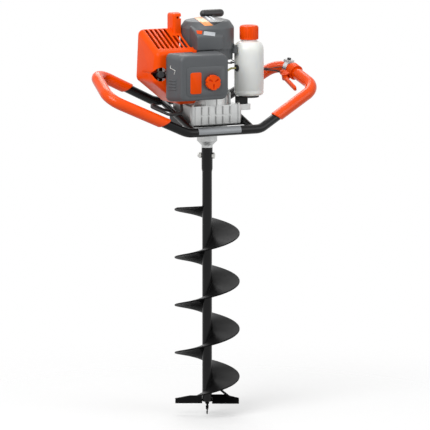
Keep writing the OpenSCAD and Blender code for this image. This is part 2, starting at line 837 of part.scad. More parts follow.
module crankcase() {
    block_w = 88;
    block_h = 84;
    color(castings) difference() {
        union() {
            translate([0, 0, z_crankcase]) cylinder(d = crankcase_d, h = crankcase_h);
            translate([0, 0, z_crankcase]) cylinder(d = bell_d, h = 6);
            translate([-block_x, -block_w / 2, z_cylinder - block_h / 2])
                cube([block_x - 30, block_w, block_h]);
            for (a = [-60, -20, 20, 60]) rotate([0, 0, a])
                translate([crankcase_d / 2 - 4, -2, z_crankcase]) cube([8, 4, crankcase_h]);
        }
        translate([0, 0, z_cylinder - crank_room_h / 2]) cylinder(d = crank_room_d, h = crank_room_h);
        translate([0, 0, z_cylinder - crank_room_h / 2 - bearing_w])
            cylinder(d = bearing_d + 2 * seat_gap, h = crank_room_h + 2 * bearing_w);
        translate([0, 0, z_crankcase - eps]) cylinder(d = crank_d + 4, h = crankcase_h + 2 * eps);
        translate([0, 0, z_crankcase - eps]) cylinder(d = bell_d - 30, h = 4);
        bar_x(-block_x - eps, -crank_room_d / 4, bore_d);
    }
}

// The two halves of the built-up crankshaft; the crank pin between them goes with the rod
module crankshaft() {
    foot = z_shoe - 1;
    nut_z = z_fan + 22;
    color(steel) {
        difference() {
            translate([0, 0, foot]) cylinder(d = crank_d, h = z_cylinder - web_gap / 2 - foot);
            translate([0, 0, foot - eps]) cylinder(d = 4, h = 10);
        }
        translate([-hub_w / 2, -hub_l / 2, z_shoe]) cube([hub_w, hub_l, shoe_h - 0.5]);
        translate([0, 0, z_cylinder - web_gap / 2 - web_t]) cylinder(d = web_d, h = web_t);
        translate([0, 0, z_cylinder + web_gap / 2]) cylinder(d = web_d, h = web_t);
        translate([0, 0, z_cylinder + web_gap / 2])
            cylinder(d = crank_d, h = nut_z + 8 - z_cylinder - web_gap / 2);
        translate([0, 0, nut_z]) cylinder(d = 34, h = 6, $fn = 6);
    }
}

module connecting_rod() {
    beam_w = 14;
    small_d = 22;
    big_d = 34;
    big_x = -stroke / 2;
    color(steel) translate([0, 0, z_cylinder - rod_t / 2]) difference() {
        union() {
            translate([piston_pin_x, 0, 0]) cylinder(d = small_d, h = rod_t);
            translate([big_x, 0, 0]) cylinder(d = big_d, h = rod_t);
            translate([piston_pin_x, -beam_w / 2, 2]) cube([rod_l, beam_w, rod_t - 4]);
        }
        translate([piston_pin_x, 0, -eps]) cylinder(d = wrist_pin_d + 2 * seat_gap, h = rod_t + 2 * eps);
        translate([big_x, 0, -eps]) cylinder(d = crank_pin_d + 2 * seat_gap, h = rod_t + 2 * eps);
    }
}

// Crank pin in the big end and wrist pin in the small end
module rod_pins() {
    color(steel) {
        translate([-stroke / 2, 0, z_cylinder]) cylinder(d = crank_pin_d, h = web_gap - 0.8, center = true);
        translate([piston_pin_x, 0, z_cylinder]) cylinder(d = wrist_pin_d, h = bore_d - 8, center = true);
    }
}

module piston() {
    skin = 4;
    crown_t = 6;
    color(castings) difference() {
        bar_x(crown_x, crown_x + piston_l, bore_d - 2 * run_gap);
        bar_x(crown_x + crown_t, crown_x + piston_l + eps, bore_d - 2 * skin);
        translate([piston_pin_x, 0, z_cylinder])
            cylinder(d = wrist_pin_d + 2 * seat_gap, h = bore_d, center = true);
    }
}

module engine_cylinder() {
    barrel_d = bore_d + 14;
    flange_w = 88;
    head_end = head_x - head_t;
    fin_step = (flange_x + head_end + fin_t) / 8;
    color(castings) difference() {
        union() {
            bar_x(head_end, -block_x, barrel_d);
            translate([-flange_x, -flange_w / 2, z_cylinder - 42]) cube([flange_x - block_x, flange_w, 84]);
            for (i = [1:8]) translate([-flange_x + i * fin_step - fin_t / 2, -fin_w / 2,
                z_cylinder - fin_h / 2])
                cube([fin_t, fin_w, fin_h]);
            port_boss(-port_x, -1);
            port_boss(-port_x - 14, 1);
        }
        bar_x(head_x, 0, bore_d);
        bar_x(head_end - eps, head_x + eps, plug_d + 2 * seat_gap);
        translate([-port_x, 0, z_cylinder]) rotate([90, 0, 0]) cylinder(d = port_d, h = port_face + eps);
        translate([-port_x - 14, 0, z_cylinder]) rotate([-90, 0, 0])
            cylinder(d = port_d + 4, h = port_face + eps);
    }
}

// Flanged boss of a port, on the front (-1) or the rear (1) of the cylinder
module port_boss(x, side) {
    boss_w = 38;
    translate([x - boss_w / 2, side > 0 ? 0 : -port_face, z_cylinder - boss_w / 2])
        cube([boss_w, port_face, boss_w]);
}

module spark_plug() {
    color(steel) {
        bar_x(plug_x, head_x - 1, plug_d);
        translate([plug_x - 13, 0, z_cylinder]) rotate([0, 90, 0]) cylinder(d = 21, h = 13, $fn = 6);
        bar_x(plug_x - 36, plug_x - 13, 11);
    }
}

module plug_boot() {
    boot_d = 22;
    elbow = [plug_x - 49, 0, z_cylinder];
    route = [[plug_x - 16, 0, z_cylinder], elbow, boot_end];
    color(soot) difference() {
        tube_path(route, same_bends(route, 24), boot_d / 2);
        bar_x(plug_x - 36.5, plug_x, 11 + 2 * seat_gap);
    }
}

module ignition_coil() {
    color(soot) translate([-fan_d / 2 - 38, -24, z_fan + 3]) {
        cube([34, 48, 18]);
        translate([10, -8, 4]) cube([14, 64, 8]);
    }
}

wheel_d = fan_d - 18;

module flywheel() {
    disc_t = 6;
    hub_d = 40;
    vane_t = 3;
    vane_h = 16;
    z_wheel = z_fan + 6;
    color(castings) difference() {
        union() {
            translate([0, 0, z_wheel]) cylinder(d = wheel_d, h = disc_t);
            translate([0, 0, z_wheel]) cylinder(d = hub_d, h = 16);
            for (i = [0:vanes - 1]) rotate([0, 0, 360 * i / vanes])
                translate([hub_d / 2 + 6, -vane_t / 2, z_wheel])
                cube([wheel_d / 2 - hub_d / 2 - 8, vane_t, disc_t + vane_h]);
        }
        translate([0, 0, z_wheel - eps]) cylinder(d = crank_d + 2 * seat_gap, h = 40);
    }
}

screw_angles = [45, 120, -40];
screw_r = starter_d / 2 + 5;
screw_d = 5;
lug_d = 14;

module screw_places() { for (a = screw_angles) rotate([0, 0, a]) translate([screw_r, 0, 0]) children(); }

// Shallow cup round the flywheel, open towards the cylinder, with a tongue that carries the coil
module fan_case() {
    wall = 3;
    tongue = fan_d / 2 + 40;
    lug_root = 5;
    lug_arm = screw_r - fan_d / 2 + lug_root;
    color(castings) difference() {
        union() {
            translate([0, 0, z_fan]) cylinder(d = fan_d, h = fan_h);
            translate([-tongue, -28, z_fan]) cube([tongue, 56, wall]);
            screw_places() translate([0, 0, z_starter - 15]) cylinder(d = lug_d, h = 15);
            screw_places() translate([-lug_arm, -lug_d / 2, z_starter - 15]) cube([lug_arm, lug_d, 15]);
        }
        translate([0, 0, z_fan + wall]) cylinder(d = fan_d - 2 * wall, h = fan_h);
        translate([0, 0, z_fan - eps]) cylinder(d = crank_d + 20, h = fan_h);
        translate([-tongue - eps, -48, z_fan + wall]) cube([tongue, 96, fan_h]);
        screw_places() translate([0, 0, z_starter - 12]) cylinder(d = screw_d + 2 * seat_gap, h = 13);
    }
}

muffler_l = 76;
muffler_h = 80;
muffler_d = 50;
muffler_x = -port_x - 14;

module muffler() {
    wall = 1.5;
    foot = 4;
    color(steel) translate([muffler_x, port_face, z_cylinder]) rotate([-90, 0, 0]) difference() {
        union() {
            linear_extrude(foot + wall) round_rect(40, 40, 6);
            translate([0, 0, foot]) linear_extrude(muffler_d - foot) round_rect(muffler_l, muffler_h, 12);
        }
        translate([0, 0, foot + wall]) linear_extrude(muffler_d - foot - 2 * wall)
            round_rect(muffler_l - 2 * wall, muffler_h - 2 * wall, 12 - wall);
        translate([0, 0, -eps]) cylinder(d = port_d + 4, h = foot + 4);
        translate([22, 22, foot + 6]) cylinder(d = 12, h = muffler_d);
    }
}

module muffler_guard() {
    wall = 2.5;
    room = 2.5;
    depth = 34;
    y_guard = port_face + muffler_d + room + wall - depth;
    color(charcoal) translate([muffler_x, y_guard, z_cylinder]) rotate([-90, 0, 0]) difference() {
        linear_extrude(depth) round_rect(muffler_l + 2 * (room + wall), muffler_h + 2 * (room + wall), 15);
        translate([0, 0, -eps]) linear_extrude(depth - wall + eps - room)
            round_rect(muffler_l + 2 * room, muffler_h + 2 * room, 13);
        translate([0, 0, -eps]) linear_extrude(depth - wall + eps)
            round_rect(muffler_l - 6, muffler_h - 6, 9);
        for (x = [-2:2]) translate([x * 13 - 3.5, -26, 0]) cube([7, 52, depth + eps]);
    }
}

module intake_block() {
    color(soot) translate([-port_x, -port_face, z_cylinder]) rotate([90, 0, 0]) difference() {
        linear_extrude(intake_l) round_rect(36, 38, 5);
        translate([0, 0, -eps]) cylinder(d = port_d, h = intake_l + 2 * eps);
    }
}

throttle_pivot_d = 6;

module carburettor() {
    body_w = 46;
    bracket_x = -66;
    color(castings) {
        difference() {
            translate([-port_x, y_carburettor, z_cylinder]) rotate([90, 0, 0])
                linear_extrude(carburettor_l) round_rect(body_w, carburettor_h, 5);
            translate([-port_x, y_carburettor + eps, z_cylinder]) rotate([90, 0, 0])
                cylinder(d = port_d, h = carburettor_l + 2 * eps);
        }
        translate([throttle_x, throttle_y, z_cylinder + carburettor_h / 2])
            cylinder(d = throttle_pivot_d, h = 10);
        difference() {
            translate([bracket_x - 1.5, y_filter + 3, z_cylinder + carburettor_h / 2 - 1])
                cube([3, 14, 50]);
            translate([bracket_x, -84, 1098]) rotate([0, 90, 0])
                cylinder(d = cable_d + 2 * seat_gap, h = 20, center = true);
        }
    }
}

module throttle_arm() {
    arm_l = 22;
    arm_t = 4;
    color(steel) translate([throttle_x, throttle_y, z_throttle]) rotate([0, 0, 100]) difference() {
        union() {
            cylinder(d = 14, h = arm_t);
            translate([0, -4, 0]) cube([arm_l - 4, 8, arm_t]);
            translate([arm_l - 4, 0, 0]) cylinder(d = 8, h = arm_t);
        }
        translate([0, 0, -eps]) cylinder(d = throttle_pivot_d + 2 * run_gap, h = arm_t + 2 * eps);
        translate([arm_l - 4, 0, -eps]) cylinder(d = 2, h = arm_t + 2 * eps);
    }
}

// Air filter

module filter_base() {
    color(charcoal) difference() {
        union() {
            translate([filter_centre_x, y_filter, filter_centre_z]) rotate([90, 0, 0])
                linear_extrude(base_t) round_rect(filter_w, filter_h, 16);
            translate([knob_x, y_filter, knob_z]) rotate([90, 0, 0]) cylinder(d = 20, h = base_t + 18);
            translate([choke_x, y_filter, choke_z]) rotate([90, 0, 0]) cylinder(d = 5, h = base_t + 5.5);
        }
        translate([-port_x, y_filter + eps, z_cylinder]) rotate([90, 0, 0])
            cylinder(d = port_d, h = base_t + 2 * eps);
        translate([knob_x, y_filter - 4, knob_z]) rotate([90, 0, 0])
            cylinder(d = knob_shank_d + 2 * run_gap, h = base_t + 20);
    }
}

module filter_element() {
    element_w = 122;
    element_h = 76;
    color(soot) difference() {
        translate([filter_centre_x + 4, y_cover, filter_centre_z - 13]) rotate([90, 0, 0])
            linear_extrude(34) round_rect(element_w, element_h, 12);
        translate([knob_x, y_cover + eps, knob_z]) rotate([90, 0, 0])
            cylinder(d = 20 + 2 * air_gap, h = 34 + 2 * eps);
    }
}

// Outer form of the cover, or its inside with the wall taken off
module cover_form(wall) {
    stations = [[0, 0, 0, 16], [filter_depth - 9, 10, 4, 18], [filter_depth, 16, 10, 18]];
    hull() for (s = stations)
        translate([filter_centre_x + s[1], y_cover - s[0] + (s[0] > 0 ? wall : 0), filter_centre_z])
        rotate([90, 0, 0]) linear_extrude(0.01)
            round_rect(filter_w - 2 * s[1] - 2 * wall, filter_h - 2 * s[2] - 2 * wall, s[3] - wall,
                $fn = 32);
}

module filter_cover() {
    color(charcoal) difference() {
        cover_form(0);
        translate([0, eps, 0]) cover_form(filter_wall);
        translate([knob_x, y_cover, knob_z]) rotate([90, 0, 0])
            cylinder(d = knob_shank_d + 2 * air_gap, h = filter_depth + eps);
        translate([choke_x - 36, y_cover - 9, choke_z]) cube([46, 10, 60]);
    }
}

module filter_knob() {
    grip_lobes = 6;
    color(orange) translate([knob_x, y_cover - filter_depth - seat_gap, knob_z]) rotate([90, 0, 0]) {
        difference() {
            cylinder(d = knob_d, h = knob_t);
            for (i = [0:2]) rotate([0, 0, 120 * i + 30]) translate([5, -2.5, knob_t - 4]) cube([13, 5, 5]);
            for (i = [0:grip_lobes - 1]) rotate([0, 0, 60 * i]) translate([knob_d / 2 + 2, 0, -eps])
                cylinder(d = 8, h = knob_t + 2 * eps);
        }
        translate([0, 0, -filter_depth - 2]) cylinder(d = knob_shank_d, h = filter_depth + 3);
    }
}

module choke_lever() {
    arm_t = 4;
    color(orange) translate([choke_x, y_cover - 0.7, choke_z]) rotate([90, 0, 0]) difference() {
        union() {
            cylinder(d = 13, h = arm_t);
            translate([-4, 0, 0]) cube([8, choke_l, arm_t]);
            translate([-5, choke_l - 16, 0]) cube([10, 16, arm_t + 3]);
        }
        translate([0, 0, -eps]) cylinder(d = 5 + 2 * run_gap, h = arm_t + 2 * eps);
    }
}

// Cylinder shroud

// Rounded body with a raked top, or its inside with the wall taken off
module shroud_form(wall) {
    r = shroud_round;
    far = -shroud_reach + r;
    low = far + 77;
    near = -shroud_near + r;
    front = shroud_front + r;
    rear = shroud_rear - r;
    foot = shroud_low + r;
    places = [
        [far, front, z_cylinder - 4], [far, rear, z_cylinder - 4],
        [low, front, foot], [low, rear, foot], [near, front, foot], [near, rear, foot],
        [near, front, front_top - r], [near, rear, rear_top - r],
        [far + 6, front, front_top - r], [far + 6, rear, rear_top - r]
    ];
    hull() for (p = places) translate(p) sphere(r - wall, $fn = 24);
}

// Raised cowl at the rear of the top
module cowl_form(wall) {
    r = 8;
    hull() for (x = [-102, -58], y = [16, 48], z = [z_fan + 60, z_fan + 133])
        translate([x, y, z]) sphere(r - wall, $fn = 16);
}

// Shroud and cowl as one form, set in by a wall
module hood_form(inset) {
    shroud_form(inset);
    cowl_form(inset);
}

// Wall that closes the hood beside the starter
module hood_wall() {
    intersection() {
        hood_form(0);
        translate([-shroud_near - shroud_wall, 0, z_fan]) cube([shroud_wall, shroud_w, 400]);
    }
}

module cylinder_shroud() {
    slot_from = -shroud_reach + 22;
    slot_in = 20;
    color(orange) difference() {
        union() {
            difference() {
                hood_form(0);
                hood_form(shroud_wall);
            }
            hood_wall();
        }
        translate([-shroud_near, -shroud_w, shroud_low - eps]) cube([shroud_reach, 3 * shroud_w, 400]);
        translate([0, 0, z_fan - eps]) cylinder(d = starter_d + 6, h = 400);
        for (i = [0:louvres - 1]) {
            from = slot_from + i * louvre_step;
            beside_cowl = from + louvre_w > -114;
            translate([from, shroud_front + slot_in, front_top - 30])
                cube([louvre_w, beside_cowl ? 62 : shroud_w - 2 * slot_in, 100]);
        }
        for (i = [0:2]) translate([-99 + 10 * i, -10, z_fan + 125]) cube([6, 50, 6]);
        translate([-port_x - 32, -shroud_w, z_cylinder - 46]) cube([64, shroud_w, 90]);
        translate([boot_end.x, 0, boot_end.z]) rotate([90, 0, 0]) cylinder(d = 42, h = shroud_w);
        translate([muffler_x - muffler_l / 2 - 8, 0, z_cylinder - muffler_h / 2 - 8])
            cube([muffler_l + 16, shroud_w, muffler_h + 16]);
    }
}

// Starter

// Half section of the cover, or of its inside
function cover_section(wall) = [
    [0, 0], [starter_d / 2 - wall, 0], [starter_d / 2 - wall, starter_h - shoulder_h],
    [starter_d / 2 - shoulder_in - wall * 0.6, starter_h - shoulder_drop - wall * 0.8],
    [crown_d / 2, starter_h - wall], [0, starter_h - wall]
];

module starter_cover() {
    nose_x = -76;
    nose_w = 88;
    nose_y = -88;
    nose_h = 62;
    color(charcoal) difference() {
        union() {
            difference() {
                union() {
                    translate([0, 0, z_starter]) rotate_extrude() polygon(cover_section(0));
                    translate([nose_x, 0, z_starter]) rotate([90, 0, 90]) linear_extrude(nose_w)
                        polygon([[nose_y, 0], [-30, 0], [-30, nose_h + 12], [nose_y + 26, nose_h],
                            [nose_y, nose_h - 18]]);
                    screw_places() translate([0, 0, z_starter]) cylinder(d = lug_d, h = 10);
                }
                translate([0, 0, z_starter - eps]) rotate_extrude() polygon(cover_section(starter_wall));
            }
            translate([0, 0, pulley_z + 0.5])
                cylinder(d = post_d, h = z_starter + starter_h - 1 - pulley_z);
        }
        screw_places() translate([0, 0, z_starter - eps]) cylinder(d = screw_d + 0.4, h = 12);
        translate(eyelet - 20 * pull_dir) rotate([pull_rise - 90, 0, 0])
            cylinder(d = rope_d + 2 * air_gap, h = 40);
    }
}

module starter_pulley() {
    flange = pulley_d + 15;
    color(soot) {
        difference() {
            translate([0, 0, pulley_z]) cylinder(d = flange, h = pulley_h);
            ring(pulley_z + 3, pulley_h - 6, flange + 1, pulley_d - 8);
            translate([0, 0, pulley_z - eps]) cylinder(d = post_d + 2 * run_gap, h = pulley_h + 2 * eps);
            translate([0, 0, pulley_z - eps]) cylinder(d = 44, h = 3);
        }
        translate([0, 0, rope_z]) rotate_extrude() translate([pulley_d / 2 - 2, 0])
            square([4, pulley_h - 6], center = true);
    }
}

// Flat spiral of spring strip, hooked on the post over the pulley
module recoil_spring() {
    turns = 5;
    strip = 0.8;
    steps = turns * 24;
    from = post_d / 2 + 0.2;
    reach = 30;
    function at(i, r) = polar(from + r + reach * i / steps, 360 * turns * i / steps);
    outer = [for (i = [0:steps]) at(i, strip)];
    inner = [for (i = [steps:-1:0]) at(i, 0)];
    color(steel) translate([0, 0, pulley_z + pulley_h + 3]) linear_extrude(9) polygon(concat(outer, inner));
}

module starter_rope() {
    route = [[rope_x, 4, rope_z], rope_turn, eyelet + pull_grip_gap * pull_dir];
    color(milk) tube_path(route, same_bends(route, 12), rope_r);
}

module pull_grip() {
    half = (pull_grip_l - pull_grip_d) / 2;
    stem = norm(pull_grip_at - eyelet) - pull_grip_gap;
    color(soot) {
        translate(pull_grip_at) rotate([0, 90, 0]) cylinder(d = pull_grip_d, h = 2 * half, center = true);
        for (s = [-1, 1]) translate(pull_grip_at + [s * half, 0, 0]) sphere(d = pull_grip_d);
        translate(pull_grip_at) rotate([pull_rise + 90, 0, 0])
            cylinder(d1 = pull_grip_d * 0.8, d2 = 12, h = stem);
    }
}

module cover_screws() {
    color(steel) screw_places() translate([0, 0, z_starter - 11]) {
        cylinder(d = screw_d, h = 21);
        translate([0, 0, 21]) cylinder(d = 2 * screw_d, h = 4);
    }
}

// Fuel

// Half section of the bottle, or of its inside
function bottle_section(wall) = let(r = bottle_d / 2 - wall, n = bottle_neck_d / 2 - wall, base = 10)
    concat(
    [[0, wall]], [for (a = [-90:15:0]) [r - base, base + wall] + base * [cos(a), sin(a)]],
    [for (a = [0:10:60]) [n, bottle_h - 22 - wall] + [(r - n) * cos(a), 26 * sin(a)]],
    [[n, bottle_h - wall], [n, bottle_h + neck_h + (wall > 0 ? eps : 0)],
        [0, bottle_h + neck_h + (wall > 0 ? eps : 0)]]
);

hose_hole = [bottle_at.x, bottle_at.y, hose_z] + (bottle_d / 2) * hose_dir;

module fuel_bottle() {
    color(milk) difference() {
        translate([bottle_at.x, bottle_at.y, z_bottle]) rotate_extrude() polygon(bottle_section(0));
        translate([bottle_at.x, bottle_at.y, z_bottle]) rotate_extrude()
            polygon(bottle_section(bottle_wall));
        rod(hose_hole - 12 * hose_dir, hose_hole + 4 * hose_dir, hose_d / 2 + 2.5 + seat_gap);
    }
}

module fuel_cap() {
    ribs = 24;
    color(orange) translate([bottle_at.x, bottle_at.y, z_cap]) difference() {
        cylinder(d = cap_d, h = cap_h);
        translate([0, 0, -eps])
            cylinder(d = bottle_neck_d + 0.6, h = bottle_h + neck_h - (z_cap - z_bottle) + eps);
        for (i = [0:ribs - 1]) rotate([0, 0, 360 * i / ribs]) translate([cap_d / 2 + 0.6, 0, 3])
            cylinder(d = 3.4, h = cap_h);
    }
}

// Grommet in the bottle's wall, and the hose through it to the carburettor
module fuel_hose() {
    route = [hose_hole - 8 * hose_dir, hose_hole + 24 * hose_dir, [20, -84, 1066],
        [-port_x + 23.45, throttle_y, 1058]];
    color([0.85, 0.8, 0.55]) {
        tube_path(route, same_bends(route, 22), hose_d / 2);
        difference() {
            union() {
                rod(hose_hole - 4 * hose_dir, hose_hole + 1 * hose_dir, hose_d / 2 + 2.5);
                rod(hose_hole + 0.4 * hose_dir, hose_hole + 6 * hose_dir, 10);
            }
            rod(hose_hole - 9 * hose_dir, hose_hole + 9 * hose_dir, hose_d / 2 + seat_gap);
        }
    }
}

module bottle_bracket() {
    shelf_t = 6;
    post_w = 28;
    z_ear = ear_z + 18;
    color(soot) {
        translate([bottle_at.x, bottle_at.y, z_bottle - shelf_t]) cylinder(d = 62, h = shelf_t);
        translate([bottle_at.x - post_w, -36, z_ear]) cube([post_w, 30, z_bottle - shelf_t - z_ear + 1]);
    }
}

module breather_hose() { color(soot)
    tube_path(breather_route, same_bends(breather_route, 16), breather_d / 2); }

// Handle

bolt_span = neck_bolt_d + 0.4;
plate_l = 2 * strut_x - 8;
plate_w = 150;
gusset_t = 5;

module strut(side, r) {
    front = raked([side * strut_x, -bar_span / 2, 0]);
    rear = raked([side * strut_x, bar_span / 2, 0]);
    rod(front, rear, r);
}

module bars(r) {
    for (s = [-1, 1]) rod(raked([-bar_half, s * bar_span / 2, 0]), raked([bar_half, s * bar_span / 2, 0]),
        r);
}

// Welded carrier: the plate under the gearbox, its gussets and the two cross struts
module mounting_plate() {
    color(soot) difference() {
        union() {
            translate([0, 0, z_plate]) linear_extrude(plate_t) round_rect(plate_l, plate_w, 10);
            for (s = [-1, 1]) {
                strut(s, strut_d / 2);
                translate([s * (plate_l / 2 - gusset_t / 2) - gusset_t / 2, 0, 0]) rotate([90, 0, 90])
                    linear_extrude(gusset_t)
                    polygon([[-60, z_plate], [plate_w / 2 - 10, z_plate],
                        [plate_w / 2 - 10, z_frame + 22], [-20, z_frame - 6]]);
            }
        }
        for (s = [-1, 1]) strut(s, strut_d / 2 - handle_wall);
        bars(handle_d / 2 + seat_gap);
        translate([0, 0, z_plate - eps]) cylinder(d = neck_d + 2 * seat_gap, h = plate_t + 2 * eps);
        neck_bolt_holes(bolt_span, z_plate - eps, plate_t + 2 * eps);
        translate([-case_l / 2 - 4, -case_w / 2 - 5, z_case])
            cube([case_l + 8, case_w + 10, lower_h + upper_h]);
    }
}

module handle_frame() {
    color(soot) difference() {
        tube_path(frame_path, frame_bends, handle_d / 2, closed = true);
        tube_path(frame_path, frame_bends, handle_d / 2 - handle_wall, closed = true);
    }
}

module handle_grips() {
    bends = same_bends([0, 1, 2, 3], loop_bend);
    color(orange) for (side = [-1, 1]) difference() {
        tube_path(grip_path(side), bends, grip_d / 2);
        tube_path(frame_path, frame_bends, handle_d / 2 + seat_gap, closed = true);
    }
}

fork_gap = 0.4;
fork_t = 4;
lever_pin_d = 6;

// Clamp on the grip with a fork and a pin for the lever, and a sleeve for the end of the cable
module lever_clamp() {
    fork_z = lever_t / 2 + fork_gap;
    color(orange) in_frame(lever_x, lever_y, lever_z, lever_at) {
        difference() {
            union() {
                rotate([0, 90, 0]) cylinder(d = clamp_d, h = clamp_l, center = true);
                for (z = [fork_z, -fork_z - fork_t]) translate([0, 0, z]) {
                    translate([-9, 0, 0]) cube([18, pivot_y, fork_t]);
                    translate([0, pivot_y, 0]) cylinder(d = 18, h = fork_t);
                }
                translate([-21, pivot_y - 2, 0]) rotate([0, 90, 0]) cylinder(d = 10, h = 8);
                translate([-21, pivot_y - 12, -fork_z - fork_t]) cube([14, 11, fork_t]);
                translate([-21, pivot_y - 6, -fork_z - fork_t]) cube([8, 8, fork_z + fork_t]);
            }
            rotate([0, 90, 0]) cylinder(d = grip_d + 2 * seat_gap, h = 100, center = true);
            translate([-30, pivot_y - 2, 0]) rotate([0, 90, 0])
                cylinder(d = cable_d + 2 * seat_gap, h = 20);
        }
        translate([0, pivot_y, 0]) cylinder(d = lever_pin_d, h = 2 * (fork_z + fork_t + 1), center = true);
    }
}

module throttle_lever() {
    blade = [[0, -6], [30, 2], [lever_l - 8, 8], [lever_l, 14], [lever_l - 8, 18], [26, 12], [0, 8]];
    color(orange) in_frame(lever_x, lever_y, lever_z, lever_at)
        translate([0, pivot_y, -lever_t / 2]) difference() {
            union() {
                cylinder(d = 18, h = lever_t);
                linear_extrude(lever_t) polygon(blade);
            }
            translate([0, 0, -eps]) cylinder(d = lever_pin_d + 2 * run_gap, h = lever_t + 2 * eps);
        }
}

module control_cables() {
    color(soot) {
        tube_path(cable_route, same_bends(cable_route, 14), cable_d / 2);
        tube_path(wire_route, same_bends(wire_route, 6), wire_d / 2);
    }
}

// Metal band round the grip's rear bend with the switch box on it
module stop_switch() {
    box = [26, 20, 12];
    seat = grip_d / 2;
    color(castings) in_frame(switch_x, switch_y, switch_z, switch_at) difference() {
        union() {
            rotate([0, 90, 0]) cylinder(d = grip_d + 4, h = 14, center = true);
            translate([-box.x / 2, -box.y / 2, seat - 4]) cube(box);
        }
        rotate([0, 90, 0]) cylinder(d = grip_d + 2 * switch_clear, h = 40, center = true);
        translate([0, 0, seat + 1]) cylinder(d = 12 + 2 * run_gap, h = 20);
    }
}

module stop_button() {
    color(soot) in_frame(switch_x, switch_y, switch_z, switch_at)
        translate([0, 0, grip_d / 2 + 1 + button_travel]) cylinder(d = 12, h = 9);
}

bit_tube();
bit_socket();
bit_flight();
cutter_blades();
pilot_point();
coupling_bolt();
output_spindle();
output_gear();
output_neck();
shaft_bearings();
gearbox_lower();
gearbox_upper();
gearbox_bolts();
gearbox_bearings();
idler_cluster();
clutch_bell();
clutch_drum();
shoe_front();
shoe_rear();
crankcase();
crankshaft();
connecting_rod();
rod_pins();
piston();
engine_cylinder();
spark_plug();
plug_boot();
ignition_coil();
flywheel();
fan_case();
muffler();
muffler_guard();
intake_block();
carburettor();
throttle_arm();
filter_base();
filter_element();
filter_cover();
filter_knob();
choke_lever();
cylinder_shroud();
starter_cover();
starter_pulley();
recoil_spring();
starter_rope();
pull_grip();
cover_screws();
fuel_bottle();
fuel_cap();
fuel_hose();
bottle_bracket();
breather_hose();
mounting_plate();
handle_frame();
handle_grips();
lever_clamp();
throttle_lever();
control_cables();
stop_switch();
stop_button();
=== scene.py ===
"""Earth auger: the visual model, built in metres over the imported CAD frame."""

import logging
import math
from dataclasses import dataclass
from enum import Enum
from typing import Iterable, Sequence

import bmesh
import bpy
from mathutils import Matrix, Vector

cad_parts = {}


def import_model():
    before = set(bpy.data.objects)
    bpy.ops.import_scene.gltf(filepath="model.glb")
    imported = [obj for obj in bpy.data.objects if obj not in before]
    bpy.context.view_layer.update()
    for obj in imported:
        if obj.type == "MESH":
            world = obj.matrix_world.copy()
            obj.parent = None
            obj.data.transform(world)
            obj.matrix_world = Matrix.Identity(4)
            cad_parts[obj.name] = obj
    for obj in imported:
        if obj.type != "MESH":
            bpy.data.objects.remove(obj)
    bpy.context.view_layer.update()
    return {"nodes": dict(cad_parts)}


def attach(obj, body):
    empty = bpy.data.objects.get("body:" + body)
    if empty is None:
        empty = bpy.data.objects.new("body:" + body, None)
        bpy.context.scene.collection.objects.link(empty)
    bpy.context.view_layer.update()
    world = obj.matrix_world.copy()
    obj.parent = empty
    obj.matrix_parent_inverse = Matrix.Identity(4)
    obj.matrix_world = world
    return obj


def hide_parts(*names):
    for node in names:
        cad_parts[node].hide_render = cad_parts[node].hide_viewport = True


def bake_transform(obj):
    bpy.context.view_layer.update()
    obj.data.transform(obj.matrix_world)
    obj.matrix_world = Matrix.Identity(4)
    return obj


LOG = logging.getLogger("auger")
MM = 0.001
WELD = 1e-6
ON_AXIS = 1e-9
FRONT = (0.0, -1.0, 0.0)
WHITE = (1.0, 1.0, 1.0, 1.0)
Pair = tuple[float, float]
Point = tuple[float, float, float]
Box = tuple[Point, Point]
Colour = tuple[float, float, float, float]


def mm(point: Sequence[float]) -> Vector:
    """Turn a point in millimetres into metres."""
    return Vector(point) * MM


def hex_colour(code: str) -> Colour:
    """Turn a six-digit screen colour into linear values.

    Args:
        code: Six hexadecimal digits, red first.

    Returns:
        Linear red, green, blue and an alpha of one.
    """
    parts = [int(code[i:i + 2], 16) / 255.0 for i in (0, 2, 4)]
    linear = [v / 12.92 if v <= 0.04045 else ((v + 0.055) / 1.055) ** 2.4 for v in parts]
    return linear[0], linear[1], linear[2], 1.0


# Shader groups shared by the finishes

